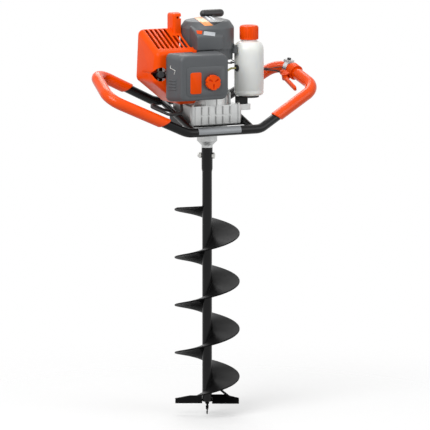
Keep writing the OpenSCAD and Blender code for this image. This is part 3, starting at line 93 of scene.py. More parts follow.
class Graph:
    """Adds and links nodes in one node tree."""

    def __init__(self, tree: bpy.types.NodeTree) -> None:
        """Keep the tree that the nodes go into."""
        self.tree = tree

    @classmethod
    def emptied(cls, owner: bpy.types.ID) -> "Graph":
        """Give the graph of a material or a world, cleared of its first nodes.

        Args:
            owner: The material or the world.

        Returns:
            Its empty graph.
        """
        owner.use_nodes = True
        owner.node_tree.nodes.clear()
        return cls(owner.node_tree)

    def link(self, source: bpy.types.NodeSocket, target: bpy.types.NodeSocket) -> None:
        """Join an output socket to an input socket."""
        self.tree.links.new(source, target)

    def add(self, kind: str, values: dict[str | int, object] | None = None,
            **settings: object) -> bpy.types.Node:
        """Add one node.

        Args:
            kind: Blender's type name of the node.
            values: What its inputs get, by name or number: a socket to link or a plain value.
            settings: Properties of the node itself.

        Returns:
            The new node.
        """
        node = self.tree.nodes.new(kind)
        for key, value in settings.items():
            setattr(node, key, value)
        for key, item in (values or {}).items():
            if isinstance(item, bpy.types.NodeSocket):
                self.link(item, node.inputs[key])
            else:
                node.inputs[key].default_value = item
        return node

    def placed(self, kind: str, values: dict[str | int, object] | None = None,
               **settings: object) -> bpy.types.Node:
        """Add a node whose first input reads the object's own coordinates.

        Args:
            kind: Blender's type name of the node.
            values: What its other inputs get.
            settings: Properties of the node itself.

        Returns:
            The new node.
        """
        place = self.add("ShaderNodeTexCoord")
        return self.add(kind, {0: place.outputs["Object"], **(values or {})}, **settings)

    def math(self, operation: str, *items: object) -> bpy.types.NodeSocket:
        """Add a math node.

        Args:
            operation: Blender's name of the operation.
            items: Its inputs in order, sockets or numbers.

        Returns:
            The value socket.
        """
        return self.add("ShaderNodeMath", dict(enumerate(items)), operation=operation).outputs[0]

    def mix(self, factor: object, first: object, second: object) -> bpy.types.NodeSocket:
        """Mix two colours.

        Args:
            factor: A socket or a number.
            first: A socket or a colour.
            second: A socket or a colour.

        Returns:
            The mixed colour.
        """
        return self.add("ShaderNodeMix", {0: factor, 6: first, 7: second}, data_type="RGBA").outputs[2]


class Effect(Enum):
    """Names of the shared shader groups."""

    DRIFT = "tone_drift"
    GRAIN = "surface_grain"
    BRUSHED = "brushed_lines"
    EDGES = "worn_edges"
    DUST = "settled_dust"


class EffectLibrary:
    """Makes each shared shader group once."""

    def __init__(self) -> None:
        """Build every group."""
        self.groups = {
            Effect.DRIFT: self.drift(),
            Effect.GRAIN: self.grain(),
            Effect.BRUSHED: self.brushed(),
            Effect.EDGES: self.edges(),
            Effect.DUST: self.dust(),
        }

    @staticmethod
    def start(effect: Effect, inputs: dict[str, float],
              outputs: dict[str, str]) -> tuple[Graph, bpy.types.Node, bpy.types.Node]:
        """Open a group with its sockets.

        Args:
            effect: Which group it is.
            inputs: Number inputs and their defaults.
            outputs: Output names and socket types.

        Returns:
            The graph, the group's input node and its output node.
        """
        tree = bpy.data.node_groups.new(effect.value, "ShaderNodeTree")
        for name, value in inputs.items():
            socket = tree.interface.new_socket(name=name, in_out="INPUT", socket_type="NodeSocketFloat")
            socket.default_value = value
        for name, kind in outputs.items():
            tree.interface.new_socket(name=name, in_out="OUTPUT", socket_type=kind)
        graph = Graph(tree)
        return graph, graph.add("NodeGroupInput"), graph.add("NodeGroupOutput")

    def drift(self) -> bpy.types.NodeTree:
        """Make slow and fine tone changes over the surface.

        Returns:
            The group's tree.
        """
        graph, source, sink = self.start(
            Effect.DRIFT, {"Scale": 12.0}, {"Slow": "NodeSocketFloat", "Fine": "NodeSocketFloat"})
        for name, factor, detail, roughness in (("Slow", 1.0, 3.0, 0.55), ("Fine", 9.0, 5.0, 0.65)):
            noise = graph.placed("ShaderNodeTexNoise", {
                "Scale": graph.math("MULTIPLY", source.outputs["Scale"], factor),
                "Detail": detail, "Roughness": roughness})
            graph.link(noise.outputs[0], sink.inputs[name])
        return graph.tree

    def grain(self) -> bpy.types.NodeTree:
        """Make a raised grain, with edges that catch light as rounded ones do.

        Returns:
            The group's tree.
        """
        graph, source, sink = self.start(
            Effect.GRAIN, {"Scale": 900.0, "Depth": 0.2, "Round": 0.0008}, {"Normal": "NodeSocketVector"})
        scale = source.outputs["Scale"]
        noise = graph.placed("ShaderNodeTexNoise", {"Scale": scale, "Detail": 4.0, "Roughness": 0.6})
        cells = graph.placed("ShaderNodeTexVoronoi", {"Scale": graph.math("MULTIPLY", scale, 0.7)})
        height = graph.math("MULTIPLY_ADD", cells.outputs["Distance"], 0.5, noise.outputs[0])
        edge = graph.add("ShaderNodeBevel", {"Radius": source.outputs["Round"]}, samples=6)
        bump = graph.add("ShaderNodeBump", {
            "Strength": source.outputs["Depth"], "Distance": 0.0004, "Height": height,
            "Normal": edge.outputs[0]})
        graph.link(bump.outputs[0], sink.inputs["Normal"])
        return graph.tree

    def brushed(self) -> bpy.types.NodeTree:
        """Make fine lines round the drill axis, as turning leaves them.

        Returns:
            The group's tree.
        """
        graph, source, sink = self.start(
            Effect.BRUSHED, {"Scale": 900.0}, {"Lines": "NodeSocketFloat"})
        stretch = graph.placed("ShaderNodeMapping", {"Scale": (0.06, 0.06, 1.0)})
        noise = graph.add("ShaderNodeTexNoise", {
            "Vector": stretch.outputs[0], "Scale": source.outputs["Scale"], "Detail": 3.0})
        graph.link(noise.outputs[0], sink.inputs["Lines"])
        return graph.tree

    def edges(self) -> bpy.types.NodeTree:
        """Find worn edges: where a rounded normal leaves the flat one, broken by noise.

        Returns:
            The group's tree.
        """
        graph, source, sink = self.start(
            Effect.EDGES, {"Radius": 0.0012, "Amount": 0.5}, {"Mask": "NodeSocketFloat"})
        flat = graph.add("ShaderNodeNewGeometry")
        edge = graph.add("ShaderNodeBevel", {"Radius": source.outputs["Radius"]}, samples=6)
        dot = graph.add("ShaderNodeVectorMath", {0: flat.outputs["Normal"], 1: edge.outputs[0]},
                        operation="DOT_PRODUCT")
        bend = graph.math("SUBTRACT", 1.0, dot.outputs["Value"])
        noise = graph.placed("ShaderNodeTexNoise", {"Scale": 160.0, "Detail": 4.0})
        broken = graph.add("ShaderNodeMapRange", {
            "Value": noise.outputs[0], "From Min": 0.45, "From Max": 0.62})
        mask = graph.math("MULTIPLY", graph.math("MULTIPLY", bend, 9.0), broken.outputs[0])
        strong = graph.math("MULTIPLY", mask, source.outputs["Amount"])
        strong.node.use_clamp = True
        graph.link(strong, sink.inputs["Mask"])
        return graph.tree

    def dust(self) -> bpy.types.NodeTree:
        """Find upward faces, where dust settles in patches.

        Returns:
            The group's tree.
        """
        graph, source, sink = self.start(Effect.DUST, {"Amount": 0.1}, {"Mask": "NodeSocketFloat"})
        flat = graph.add("ShaderNodeNewGeometry")
        split = graph.add("ShaderNodeSeparateXYZ", {0: flat.outputs["Normal"]})
        upward = graph.add("ShaderNodeMapRange", {
            "Value": split.outputs["Z"], "From Min": 0.25, "From Max": 1.0})
        noise = graph.placed("ShaderNodeTexNoise", {"Scale": 38.0, "Detail": 6.0, "Roughness": 0.7})
        mask = graph.math("MULTIPLY", upward.outputs[0], noise.outputs[0])
        graph.link(graph.math("MULTIPLY", mask, source.outputs["Amount"]), sink.inputs["Mask"])
        return graph.tree


# Finishes

COAT_ROUGHNESS = 0.12
SCATTER_RADIUS = (0.012, 0.011, 0.009)
SCATTER_SCALE = 0.6
LINE_SCALE = 1400.0
DUST_COLOUR = "9A948A"
DUST_ROUGHNESS = 0.5


@dataclass(frozen=True)
class Finish:
    """One surface finish, with the detail the real one shows.

    Attributes:
        label: Name of the material.
        colour: Main colour.
        second: Colour that it drifts towards.
        roughness: Middle roughness.
        span: How far the roughness wanders to each side.
        metallic: One for bare metal.
        grain: Grain scale per metre.
        depth: Strength of the grain.
        patch: Scale of the slow tone changes.
        rounding: Radius of the softened edges in metres.
        wear: Strength of the wear on edges.
        worn: Colour that wear uncovers.
        dust: Strength of the settled dust.
        coat: Weight of a clear glossy layer.
        specular: Strength of the plain reflection.
        subsurface: Light that passes into the surface.
        clear: Light that passes through.
        lines: Strength of turned lines.
    """

    label: str
    colour: str
    second: str
    roughness: float
    span: float = 0.08
    metallic: float = 0.0
    grain: float = 900.0
    depth: float = 0.12
    patch: float = 14.0
    rounding: float = 0.0008
    wear: float = 0.0
    worn: str = "B8B6B0"
    dust: float = 0.08
    coat: float = 0.0
    specular: float = 0.5
    subsurface: float = 0.0
    clear: float = 0.0
    lines: float = 0.0

    def make(self, effects: EffectLibrary) -> bpy.types.Material:
        """Build the material.

        Args:
            effects: The shared shader groups.

        Returns:
            The new material.
        """
        material = bpy.data.materials.new(self.label)
        graph = Graph.emptied(material)
        drift = self.group(graph, effects, Effect.DRIFT, {"Scale": self.patch})
        tone = graph.mix(drift.outputs["Slow"], hex_colour(self.colour), hex_colour(self.second))
        rough = graph.add("ShaderNodeMapRange", {
            "Value": drift.outputs["Fine"], "To Min": self.roughness - self.span,
            "To Max": self.roughness + self.span})
        value = rough.outputs[0]
        if self.lines:
            lines = self.group(graph, effects, Effect.BRUSHED, {"Scale": LINE_SCALE})
            value = graph.math("ADD", value, graph.math("MULTIPLY", lines.outputs["Lines"], self.lines))
        if self.wear:
            edges = self.group(graph, effects, Effect.EDGES, {"Amount": self.wear})
            tone = graph.mix(edges.outputs["Mask"], tone, hex_colour(self.worn))
        if self.dust:
            dust = self.group(graph, effects, Effect.DUST, {"Amount": self.dust})
            tone = graph.mix(dust.outputs["Mask"], tone, hex_colour(DUST_COLOUR))
            value = graph.math("ADD", value, graph.math("MULTIPLY", dust.outputs["Mask"], DUST_ROUGHNESS))
        grain = self.group(graph, effects, Effect.GRAIN, {
            "Scale": self.grain, "Depth": self.depth, "Round": self.rounding})
        shader = graph.add("ShaderNodeBsdfPrincipled", {
            "Base Color": tone, "Roughness": value, "Normal": grain.outputs["Normal"],
            "Metallic": self.metallic, "Specular IOR Level": self.specular,
            "Coat Weight": self.coat, "Coat Roughness": COAT_ROUGHNESS,
            "Subsurface Weight": self.subsurface, "Subsurface Radius": SCATTER_RADIUS,
            "Subsurface Scale": SCATTER_SCALE, "Transmission Weight": self.clear})
        graph.add("ShaderNodeOutputMaterial", {"Surface": shader.outputs[0]})
        return material

    @staticmethod
    def group(graph: Graph, effects: EffectLibrary, effect: Effect,
              values: dict[str, float]) -> bpy.types.Node:
        """Place one shared group in a material.

        Args:
            graph: The material's graph.
            effects: The shared shader groups.
            effect: Which group.
            values: Values of its inputs.

        Returns:
            The group node.
        """
        return graph.add("ShaderNodeGroup", values, node_tree=effects.groups[effect])


class Look(Enum):
    """The finishes of the machine."""

    ORANGE_GLOSS = Finish("orange_moulding", "F25200", "E84600", 0.34, 0.06, depth=0.04, coat=0.02,
                          dust=0.02, specular=0.12, rounding=0.0015)
    ORANGE_DIP = Finish("orange_dipped_grip", "F25200", "E84600", 0.2, 0.04, grain=260.0, depth=0.012,
                        coat=0.1, specular=0.2, dust=0.02, rounding=0.0)
    CHARCOAL = Finish("charcoal_moulding", "505356", "45484B", 0.48, 0.08, grain=1500.0, depth=0.22,
                      dust=0.08, rounding=0.0015)
    BLACK_PLASTIC = Finish("black_moulding", "1E1E20", "171718", 0.45, 0.1, grain=1500.0, depth=0.2,
                           rounding=0.0012)
    BLACK_PAINT = Finish("black_paint", "111112", "0C0C0D", 0.24, 0.06, grain=520.0, depth=0.05, coat=0.12,
                         specular=0.16, wear=0.2, worn="77736C", dust=0.02, rounding=0.001)
    CAST_ALLOY = Finish("cast_alloy", "C6C7C6", "AEB0B0", 0.42, 0.1, metallic=0.9, grain=1300.0, depth=0.4,
                        wear=0.3, worn="E2E2E0", rounding=0.0015)
    STEEL = Finish("plated_steel", "C9C9C6", "B3B2AE", 0.28, 0.1, metallic=1.0, depth=0.06, lines=0.12)
    DARK_STEEL = Finish("oiled_steel", "5C5A58", "3F3D3B", 0.38, 0.12, metallic=1.0, depth=0.1, lines=0.1)
    HEATED_STEEL = Finish("heat_stained_steel", "7C6A58", "544C4E", 0.4, 0.12, metallic=1.0, depth=0.12,
                          patch=30.0)
    BOTTLE = Finish("milky_plastic", "F1F2EE", "E4E6E1", 0.36, 0.05, depth=0.05, subsurface=0.35, dust=0.0,
                    rounding=0.0)
    RUBBER = Finish("black_rubber", "161617", "202022", 0.62, 0.1, grain=1100.0, depth=0.15)
    FUEL_LINE = Finish("amber_fuel_line", "C9C38A", "B5AE6C", 0.22, 0.05, depth=0.03, subsurface=0.2,
                       clear=0.25, dust=0.0)
    ROPE = Finish("braided_rope", "E6E2D8", "CFC9BB", 0.8, 0.05, grain=1400.0, depth=0.9)
    FOAM = Finish("filter_foam", "3A3A36", "2C2C2A", 0.95, 0.03, grain=700.0, depth=1.0)
    STRIPE_ORANGE = Finish("stripe_orange", "F39A58", "EE8E4A", 0.35, 0.06, depth=0.05, coat=0.2, dust=0.03)
    STRIPE_BLACK = Finish("stripe_black", "161618", "1C1C1F", 0.35, 0.08, depth=0.05, coat=0.2, dust=0.03)
    PALE_PLATE = Finish("bare_plate", "C4C7CB", "B6BABF", 0.38, 0.08, metallic=0.3, depth=0.05, lines=0.1)
    BAR_PLATE = Finish("bare_bar_plate", "8B8E91", "7C7F82", 0.4, 0.08, metallic=0.7, grain=700.0,
                       depth=0.08, lines=0.15, wear=0.2, worn="B9BBBC")
    BIT_PAINT = Finish("bit_paint", "101011", "0B0B0C", 0.36, 0.08, grain=520.0, depth=0.1, specular=0.05,
                       wear=0.12, worn="5A5752", dust=0.008, rounding=0.001)


class Finishes:
    """Makes each material once, on first use."""

    def __init__(self) -> None:
        """Start with the shared groups and no materials."""
        self.effects = EffectLibrary()
        self.made: dict[Look, bpy.types.Material] = {}

    def get(self, look: Look) -> bpy.types.Material:
        """Give the material of a finish.

        Args:
            look: The finish.

        Returns:
            Its material.
        """
        if look not in self.made:
            self.made[look] = look.value.make(self.effects)
        return self.made[look]


# Stage

@dataclass(frozen=True)
class Lamp:
    """One round soft box that faces the machine.

    Attributes:
        name: Name of the light.
        azimuth: Turn from the front in degrees, positive to the right.
        elevation: Height over level in degrees.
        distance: Distance from the machine in metres.
        size: Diameter in metres.
        power: Power in watts.
    """

    name: str
    azimuth: float
    elevation: float
    distance: float
    size: float
    power: float


@dataclass(frozen=True)
class Stage:
    """The studio round the machine, in metres and degrees.

    Attributes:
        azimuth: Turn of the camera from the front, positive to the right.
        elevation: Height of the camera over level.
        distance: How far off the camera stands.
        view: Width of what it sees there.
        target: Middle of the picture.
        sensor: Width of the camera's sensor in millimetres.
        aim: What the lamps face.
        lamps: The soft boxes.
        glow: Strength of the world's light on the machine.
        floor_radius: Radius of the floor.
        floor_level: Height of the floor.
        floor_sides: Corners of its edge.
        floor_tone: Colour of its cloth.
        shade_from: Distance at which the floor begins to fade out.
        shade_reach: Share of its radius at which it is gone.
        shade: How much of the floor shows at its middle.
    """

    azimuth: float = -27.0
    elevation: float = 8.0
    distance: float = 15.0
    view: float = 1.3158
    target: Point = (0.02156, -0.01099, 0.618)
    sensor: float = 36.0
    aim: Point = (0.0, 0.0, 0.75)
    lamps: tuple[Lamp, ...] = (
        Lamp("key", -58.0, 40.0, 3.4, 2.2, 82.0),
        Lamp("fill", 38.0, 20.0, 3.6, 2.6, 30.0),
        Lamp("back", 160.0, 48.0, 3.2, 2.0, 36.0),
        Lamp("top", -20.0, 82.0, 3.4, 2.0, 20.0),
    )
    glow: float = 0.36
    floor_radius: float = 2.4
    floor_level: float = -0.0005
    floor_sides: int = 96
    floor_tone: Colour = (0.93, 0.93, 0.93, 1.0)
    shade_from: float = 0.25
    shade_reach: float = 0.6
    shade: float = 0.55

    def build(self) -> None:
        """Set the camera, the lights, the world and the floor."""
        self.camera()
        for lamp in self.lamps:
            self.light(lamp)
        self.world()
        self.floor()
        bpy.context.scene.view_settings.view_transform = "Standard"

    @staticmethod
    def stand(name: str, data: bpy.types.ID, azimuth: float, elevation: float, distance: float,
              aim: Point) -> bpy.types.Object:
        """Stand a camera or a lamp round a point and face it there.

        Args:
            name: Name of the object.
            data: The camera or the light.
            azimuth: Turn from the front, positive to the right.
            elevation: Height over level.
            distance: Distance from the point.
            aim: The point.

        Returns:
            The new object.
        """
        turn, rise = math.radians(azimuth), math.radians(elevation)
        back = Vector((math.sin(turn) * math.cos(rise), -math.cos(turn) * math.cos(rise), math.sin(rise)))
        obj = bpy.data.objects.new(name, data)
        bpy.context.scene.collection.objects.link(obj)
        obj.location = Vector(aim) + back * distance
        obj.rotation_euler = back.to_track_quat("Z", "Y").to_euler()
        return obj

    def camera(self) -> None:
        """Stand the camera far off with a long lens, as the photograph's flat view asks."""
        data = bpy.data.cameras.new("camera")
        data.sensor_width = self.sensor
        data.lens = self.sensor * self.distance / self.view
        data.clip_end = self.distance * 4.0
        data.dof.use_dof = False
        bpy.context.scene.camera = self.stand("camera", data, self.azimuth, self.elevation, self.distance,
                                              self.target)

    def light(self, lamp: Lamp) -> None:
        """Hang one soft box.

        Args:
            lamp: Where it hangs and how bright it is.
        """
        data = bpy.data.lights.new(lamp.name, "AREA")
        data.shape = "DISK"
        data.size = lamp.size
        data.energy = lamp.power
        self.stand(lamp.name, data, lamp.azimuth, lamp.elevation, lamp.distance, self.aim)

    def world(self) -> None:
        """Make the backdrop white to the camera and in mirrors, and a soft grey light for the rest."""
        world = bpy.data.worlds.new("studio")
        bpy.context.scene.world = world
        graph = Graph.emptied(world)
        white = graph.add("ShaderNodeBackground", {"Color": WHITE, "Strength": 1.0})
        soft = graph.add("ShaderNodeBackground", {"Color": WHITE, "Strength": self.glow})
        path = graph.add("ShaderNodeLightPath")
        seen = path.outputs["Is Camera Ray"]
        for name in ("Is Transmission Ray", "Is Glossy Ray"):
            seen = graph.math("MAXIMUM", seen, path.outputs[name])
        pick = graph.add("ShaderNodeMixShader", {0: seen, 1: soft.outputs[0], 2: white.outputs[0]})
        graph.add("ShaderNodeOutputWorld", {"Surface": pick.outputs[0]})

    def floor(self) -> None:
        """Lay a pale floor whose edge fades into the backdrop."""
        turns = [math.tau * i / self.floor_sides for i in range(self.floor_sides)]
        ring = [Vector((math.cos(turn), math.sin(turn), 0.0)) * self.floor_radius for turn in turns]
        floor = mesh_object("floor", ring, [list(range(self.floor_sides))])
        floor.location.z = self.floor_level
        material = bpy.data.materials.new("pale_floor")
        graph = Graph.emptied(material)
        length = graph.placed("ShaderNodeVectorMath", operation="LENGTH")
        fade = graph.add("ShaderNodeMapRange", {
            "Value": length.outputs["Value"], "From Min": self.shade_from,
            "From Max": self.floor_radius * self.shade_reach, "To Min": self.shade, "To Max": 0.0},
            interpolation_type="SMOOTHSTEP")
        cloth = graph.add("ShaderNodeBsdfDiffuse", {"Color": self.floor_tone})
        nothing = graph.add("ShaderNodeBsdfTransparent")
        pick = graph.add("ShaderNodeMixShader", {
            0: fade.outputs[0], 1: nothing.outputs[0], 2: cloth.outputs[0]})
        graph.add("ShaderNodeOutputMaterial", {"Surface": pick.outputs[0]})
        floor.data.materials.append(material)


# Mesh helpers

class Join(Enum):
    """Ways to combine solids."""

    ADD = "UNION"
    CUT = "DIFFERENCE"


def publish(name: str, work: bmesh.types.BMesh) -> bpy.types.Object:
    """Turn a working mesh into an object with outward faces.

    Args:
        name: Name of the object.
        work: The working mesh, which is freed.

    Returns:
        The new object, at the origin.
    """
    bmesh.ops.recalc_face_normals(work, faces=work.faces)
    mesh = bpy.data.meshes.new(name)
    work.to_mesh(mesh)
    work.free()
    obj = bpy.data.objects.new(name, mesh)
    bpy.context.scene.collection.objects.link(obj)
    return obj


def mesh_object(name: str, points: Iterable[Vector], faces: Iterable[Sequence[int]]) -> bpy.types.Object:
    """Make an object from points and faces, with merged points.

    Args:
        name: Name of the object.
        points: Points in metres.
        faces: Point numbers of each face.

    Returns:
        The new object, at the origin.
    """
    work = bmesh.new()
    made = [work.verts.new(p) for p in points]
    for face in faces:
        work.faces.new([made[i] for i in face])
    bmesh.ops.remove_doubles(work, verts=work.verts, dist=WELD)
    return publish(name, work)


def settle(obj: bpy.types.Object) -> bpy.types.Object:
    """Turn an object's modifiers into plain mesh.

    Args:
        obj: The object to settle.

    Returns:
        The same object, with no modifiers.
    """
    graph = bpy.context.evaluated_depsgraph_get()
    mesh = bpy.data.meshes.new_from_object(obj.evaluated_get(graph))
    obj.modifiers.clear()
    old = obj.data
    obj.data = mesh
    bpy.data.meshes.remove(old)
    mesh.name = obj.name
    return obj


def smooth(obj: bpy.types.Object, angle: float = 35.0) -> bpy.types.Object:
    """Shade smooth, with sharp edges over an angle.

    Args:
        obj: The object to shade.
        angle: Angle in degrees.

    Returns:
        The same object.
    """
    obj.data.shade_smooth()
    obj.data.set_sharp_from_angle(angle=math.radians(angle))
    return obj


def bevel(obj: bpy.types.Object, width: float, segments: int = 3, angle: float = 35.0) -> bpy.types.Object:
    """Round the edges that are sharper than an angle.

    Args:
        obj: The object to round.
        width: Width of the rounding in millimetres.
        segments: Steps across it.
        angle: Angle in degrees.

    Returns:
        The same object, settled and shaded.
    """
    edges = obj.modifiers.new("edges", "BEVEL")
    edges.width = width * MM
    edges.segments = segments
    edges.limit_method = "ANGLE"
    edges.angle_limit = math.radians(angle)
    return smooth(settle(obj))


def combine(obj: bpy.types.Object, tools: Sequence[bpy.types.Object], join: Join) -> bpy.types.Object:
    """Add or cut solids, and remove the tools.

    Args:
        obj: The solid that stays.
        tools: The solids to add or cut.
        join: Which of the two.

    Returns:
        The same object, settled.
    """
    for tool in tools:
        step = obj.modifiers.new("solid", "BOOLEAN")
        step.operation = join.value
        step.object = tool
        step.solver = "EXACT"
    settle(obj)
    for tool in tools:
        mesh = tool.data
        bpy.data.objects.remove(tool)
        bpy.data.meshes.remove(mesh)
    return obj


def lathe(name: str, profile: Sequence[Pair], place: Matrix, sides: int = 96) -> bpy.types.Object:
    """Turn a closed profile round an axis.

    Args:
        name: Name of the object.
        profile: Radius and height of each point, in millimetres.
        place: Where the axis goes, in metres.
        sides: Steps round the axis.

    Returns:
        The new object.
    """
    points: list[Vector] = []
    for i in range(sides):
        turn = math.tau * i / sides
        points += [place @ mm((r * math.cos(turn), r * math.sin(turn), z)) for r, z in profile]
    count = len(profile)
    faces = []
    for i in range(sides):
        a, b = i * count, (i + 1) % sides * count
        for k in range(count):
            n = (k + 1) % count
            first, last = profile[k][0] < ON_AXIS, profile[n][0] < ON_AXIS
            if first and last:
                continue
            if first:
                faces.append([a + k, b + n, a + n])
            elif last:
                faces.append([a + k, b + k, a + n])
            else:
                faces.append([a + k, b + k, b + n, a + n])
    return smooth(mesh_object(name, points, faces))


def rod(name: str, radius: float, span: Pair, place: Matrix, sides: int = 96) -> bpy.types.Object:
    """Make a round bar that serves as a cutting tool.

    Args:
        name: Name of the tool.
        radius: Its radius in millimetres.
        span: Height of its foot and of its top.
        place: Where the axis goes, in metres.
        sides: Steps round the axis.

    Returns:
        The new object.
    """
    low, high = span
    return lathe(name, [(0.0, low), (radius, low), (radius, high), (0.0, high)], place, sides)


def oblong(low: Pair, high: Pair) -> list[Pair]:
    """Give the corners of a rectangle from its lowest and its highest."""
    return [(low[0], low[1]), (high[0], low[1]), (high[0], high[1]), (low[0], high[1])]


def rounded(points: Sequence[Pair], radii: Sequence[float], steps: int = 6) -> list[Pair]:
    """Round the corners of a flat outline.

    Args:
        points: Corners in order.
        radii: Radius of each corner; zero keeps it sharp.
        steps: Points on each arc.

    Returns:
        The rounded outline.
    """
    outline: list[Pair] = []
    count = len(points)
    for i, radius in enumerate(radii):
        here = Vector(points[i])
        if radius <= 0.0:
            outline.append((here.x, here.y))
            continue
        before = (Vector(points[i - 1]) - here).normalized()
        after = (Vector(points[(i + 1) % count]) - here).normalized()
        half = before.angle(after) / 2.0
        reach = radius / math.tan(half)
        centre = here + (before + after).normalized() * radius / math.sin(half)
        first = here + before * reach - centre
        last = here + after * reach - centre
        turn = first.angle_signed(last)
        for k in range(steps + 1):
            spot = centre + Matrix.Rotation(-turn * k / steps, 2) @ first
            outline.append((spot.x, spot.y))
    return outline


def prism(name: str, outline: Sequence[Pair], span: Pair, place: Matrix) -> bpy.types.Object:
    """Raise a flat outline into a solid.

    Args:
        name: Name of the object.
        outline: Corners in millimetres.
        span: Height of its foot and of its top.
        place: Where it goes, in metres.

    Returns:
        The new object.
    """
    count = len(outline)
    points = [place @ mm((x, y, z)) for z in span for x, y in outline]
    faces: list[list[int]] = [list(range(count)), list(range(count, 2 * count))]
    faces += [[i, (i + 1) % count, count + (i + 1) % count, count + i] for i in range(count)]
    return mesh_object(name, points, faces)


def block(name: str, low: Point, high: Point) -> bpy.types.Object:
    """Make a box that serves as a cutting tool.

    Args:
        name: Name of the tool.
        low: Lowest corner in millimetres.
        high: Highest corner in millimetres.

    Returns:
        The new object.
    """
    return prism(name, oblong(low[:2], high[:2]), (low[2], high[2]), Matrix.Identity(4))


def wrap(name: str, balls: Sequence[tuple[Point, float]], steps: int = 32) -> bpy.types.Object:
    """Stretch a skin over balls.

    Args:
        name: Name of the object.
        balls: Centre and radius of each, in millimetres.
        steps: Steps round a ball.

    Returns:
        The new convex object.
    """
    work = bmesh.new()
    half = steps // 2
    for centre, radius in balls:
        for i in range(half + 1):
            rise = math.pi * i / half
            for k in range(steps):
                turn = math.tau * k / steps
                flat = Vector((math.cos(turn), math.sin(turn), 0.0)) * math.sin(rise)
                way = flat + Vector((0.0, 0.0, math.cos(rise)))
                work.verts.new(mm(Vector(centre) + way * radius))
    bmesh.ops.remove_doubles(work, verts=work.verts, dist=WELD)
    found = bmesh.ops.convex_hull(work, input=work.verts)
    inner = {v for v in found["geom_interior"] if isinstance(v, bmesh.types.BMVert)}
    bmesh.ops.delete(work, geom=list(inner), context="VERTS")
    return publish(name, work)


def axes(x: Sequence[float], y: Sequence[float], z: Sequence[float], at: Sequence[float]) -> Matrix:
    """Give the placing of a local frame.

    Args:
        x: First axis.
        y: Second axis.
        z: Third axis.
        at: Origin in millimetres.

    Returns:
        The placing, in metres.
    """
    place = Matrix((x, y, z)).transposed().to_4x4()
    place.translation = mm(at)
    return place


def along(direction: Sequence[float], at: Sequence[float]) -> Matrix:
    """Give a placing whose third axis runs along a direction.

    Args:
        direction: The axis.
        at: Origin in millimetres.

    Returns:
        The placing, in metres.
    """
    place = Vector(direction).to_track_quat("Z", "Y").to_matrix().to_4x4()
    place.translation = mm(at)
    return place


class Route:
    """A path of straight runs and round bends, with a frame at each point."""

    def __init__(self, corners: Sequence[Point], bends: Sequence[float], closed: bool = False,
                 step: float = 4.0) -> None:
        """Lay out the path.

        Args:
            corners: Corners in millimetres.
            bends: Bend radius at each corner.
            closed: Whether the last corner joins the first.
            step: Distance from point to point.
        """
        self.closed = closed
        self.points = self.lay([Vector(c) for c in corners], bends, step)
        self.tangents = [self.tangent(i) for i in range(len(self.points))]
        self.normals = self.carry()

    def lay(self, corners: list[Vector], bends: Sequence[float], step: float) -> list[Vector]:
        """Place points along the runs and the bends.

        Args:
            corners: Corners in millimetres.
            bends: Bend radius at each corner.
            step: Distance from point to point.

        Returns:
            The points in order.
        """
        stops: list[list[Vector]] = []
        count = len(corners)
        for i, here in enumerate(corners):
            if not self.closed and i in (0, count - 1):
                stops.append([here])
                continue
            before = (here - corners[i - 1]).normalized()
            after = (corners[(i + 1) % count] - here).normalized()
            angle = before.angle(after)
            side = (after - before * after.dot(before)).normalized()
            first = here - before * bends[i] * math.tan(angle / 2.0)
            parts = max(4, math.ceil(bends[i] * angle / step))
            turns = [angle * k / parts for k in range(parts + 1)]
            stops.append([first + (before * math.sin(turn) + side * (1.0 - math.cos(turn))) * bends[i]
                          for turn in turns])
        points: list[Vector] = []
        for i, arc in enumerate(stops):
            points += arc
            if i == count - 1 and not self.closed:
                break
            goal = stops[(i + 1) % count][0]
            parts = max(1, round((goal - arc[-1]).length / step))
            points += [arc[-1].lerp(goal, k / parts) for k in range(1, parts)]
        return points

    def tangent(self, i: int) -> Vector:
        """Give the direction at a point.

        Args:
            i: Number of the point.

        Returns:
            A unit vector.
        """
        count = len(self.points)
        ahead = (i + 1) % count if self.closed else min(i + 1, count - 1)
        behind = (i - 1) % count if self.closed else max(i - 1, 0)
        return (self.points[ahead] - self.points[behind]).normalized()

    def carry(self) -> list[Vector]:
        """Carry one cross direction along the path without twist.

        Returns:
            A unit vector for each point.
        """
        first = self.tangents[0]
        normal = first.orthogonal().normalized()
        normals = []
        for tangent in self.tangents:
            normal = (normal - tangent * normal.dot(tangent)).normalized()
            normals.append(normal.copy())
        return normals

    def distances(self) -> list[float]:
        """Give the distance of each point from the start.

        Returns:
            Distances in millimetres.
        """
        total = [0.0]
        for a, b in zip(self.points, self.points[1:]):
            total.append(total[-1] + (b - a).length)
        return total


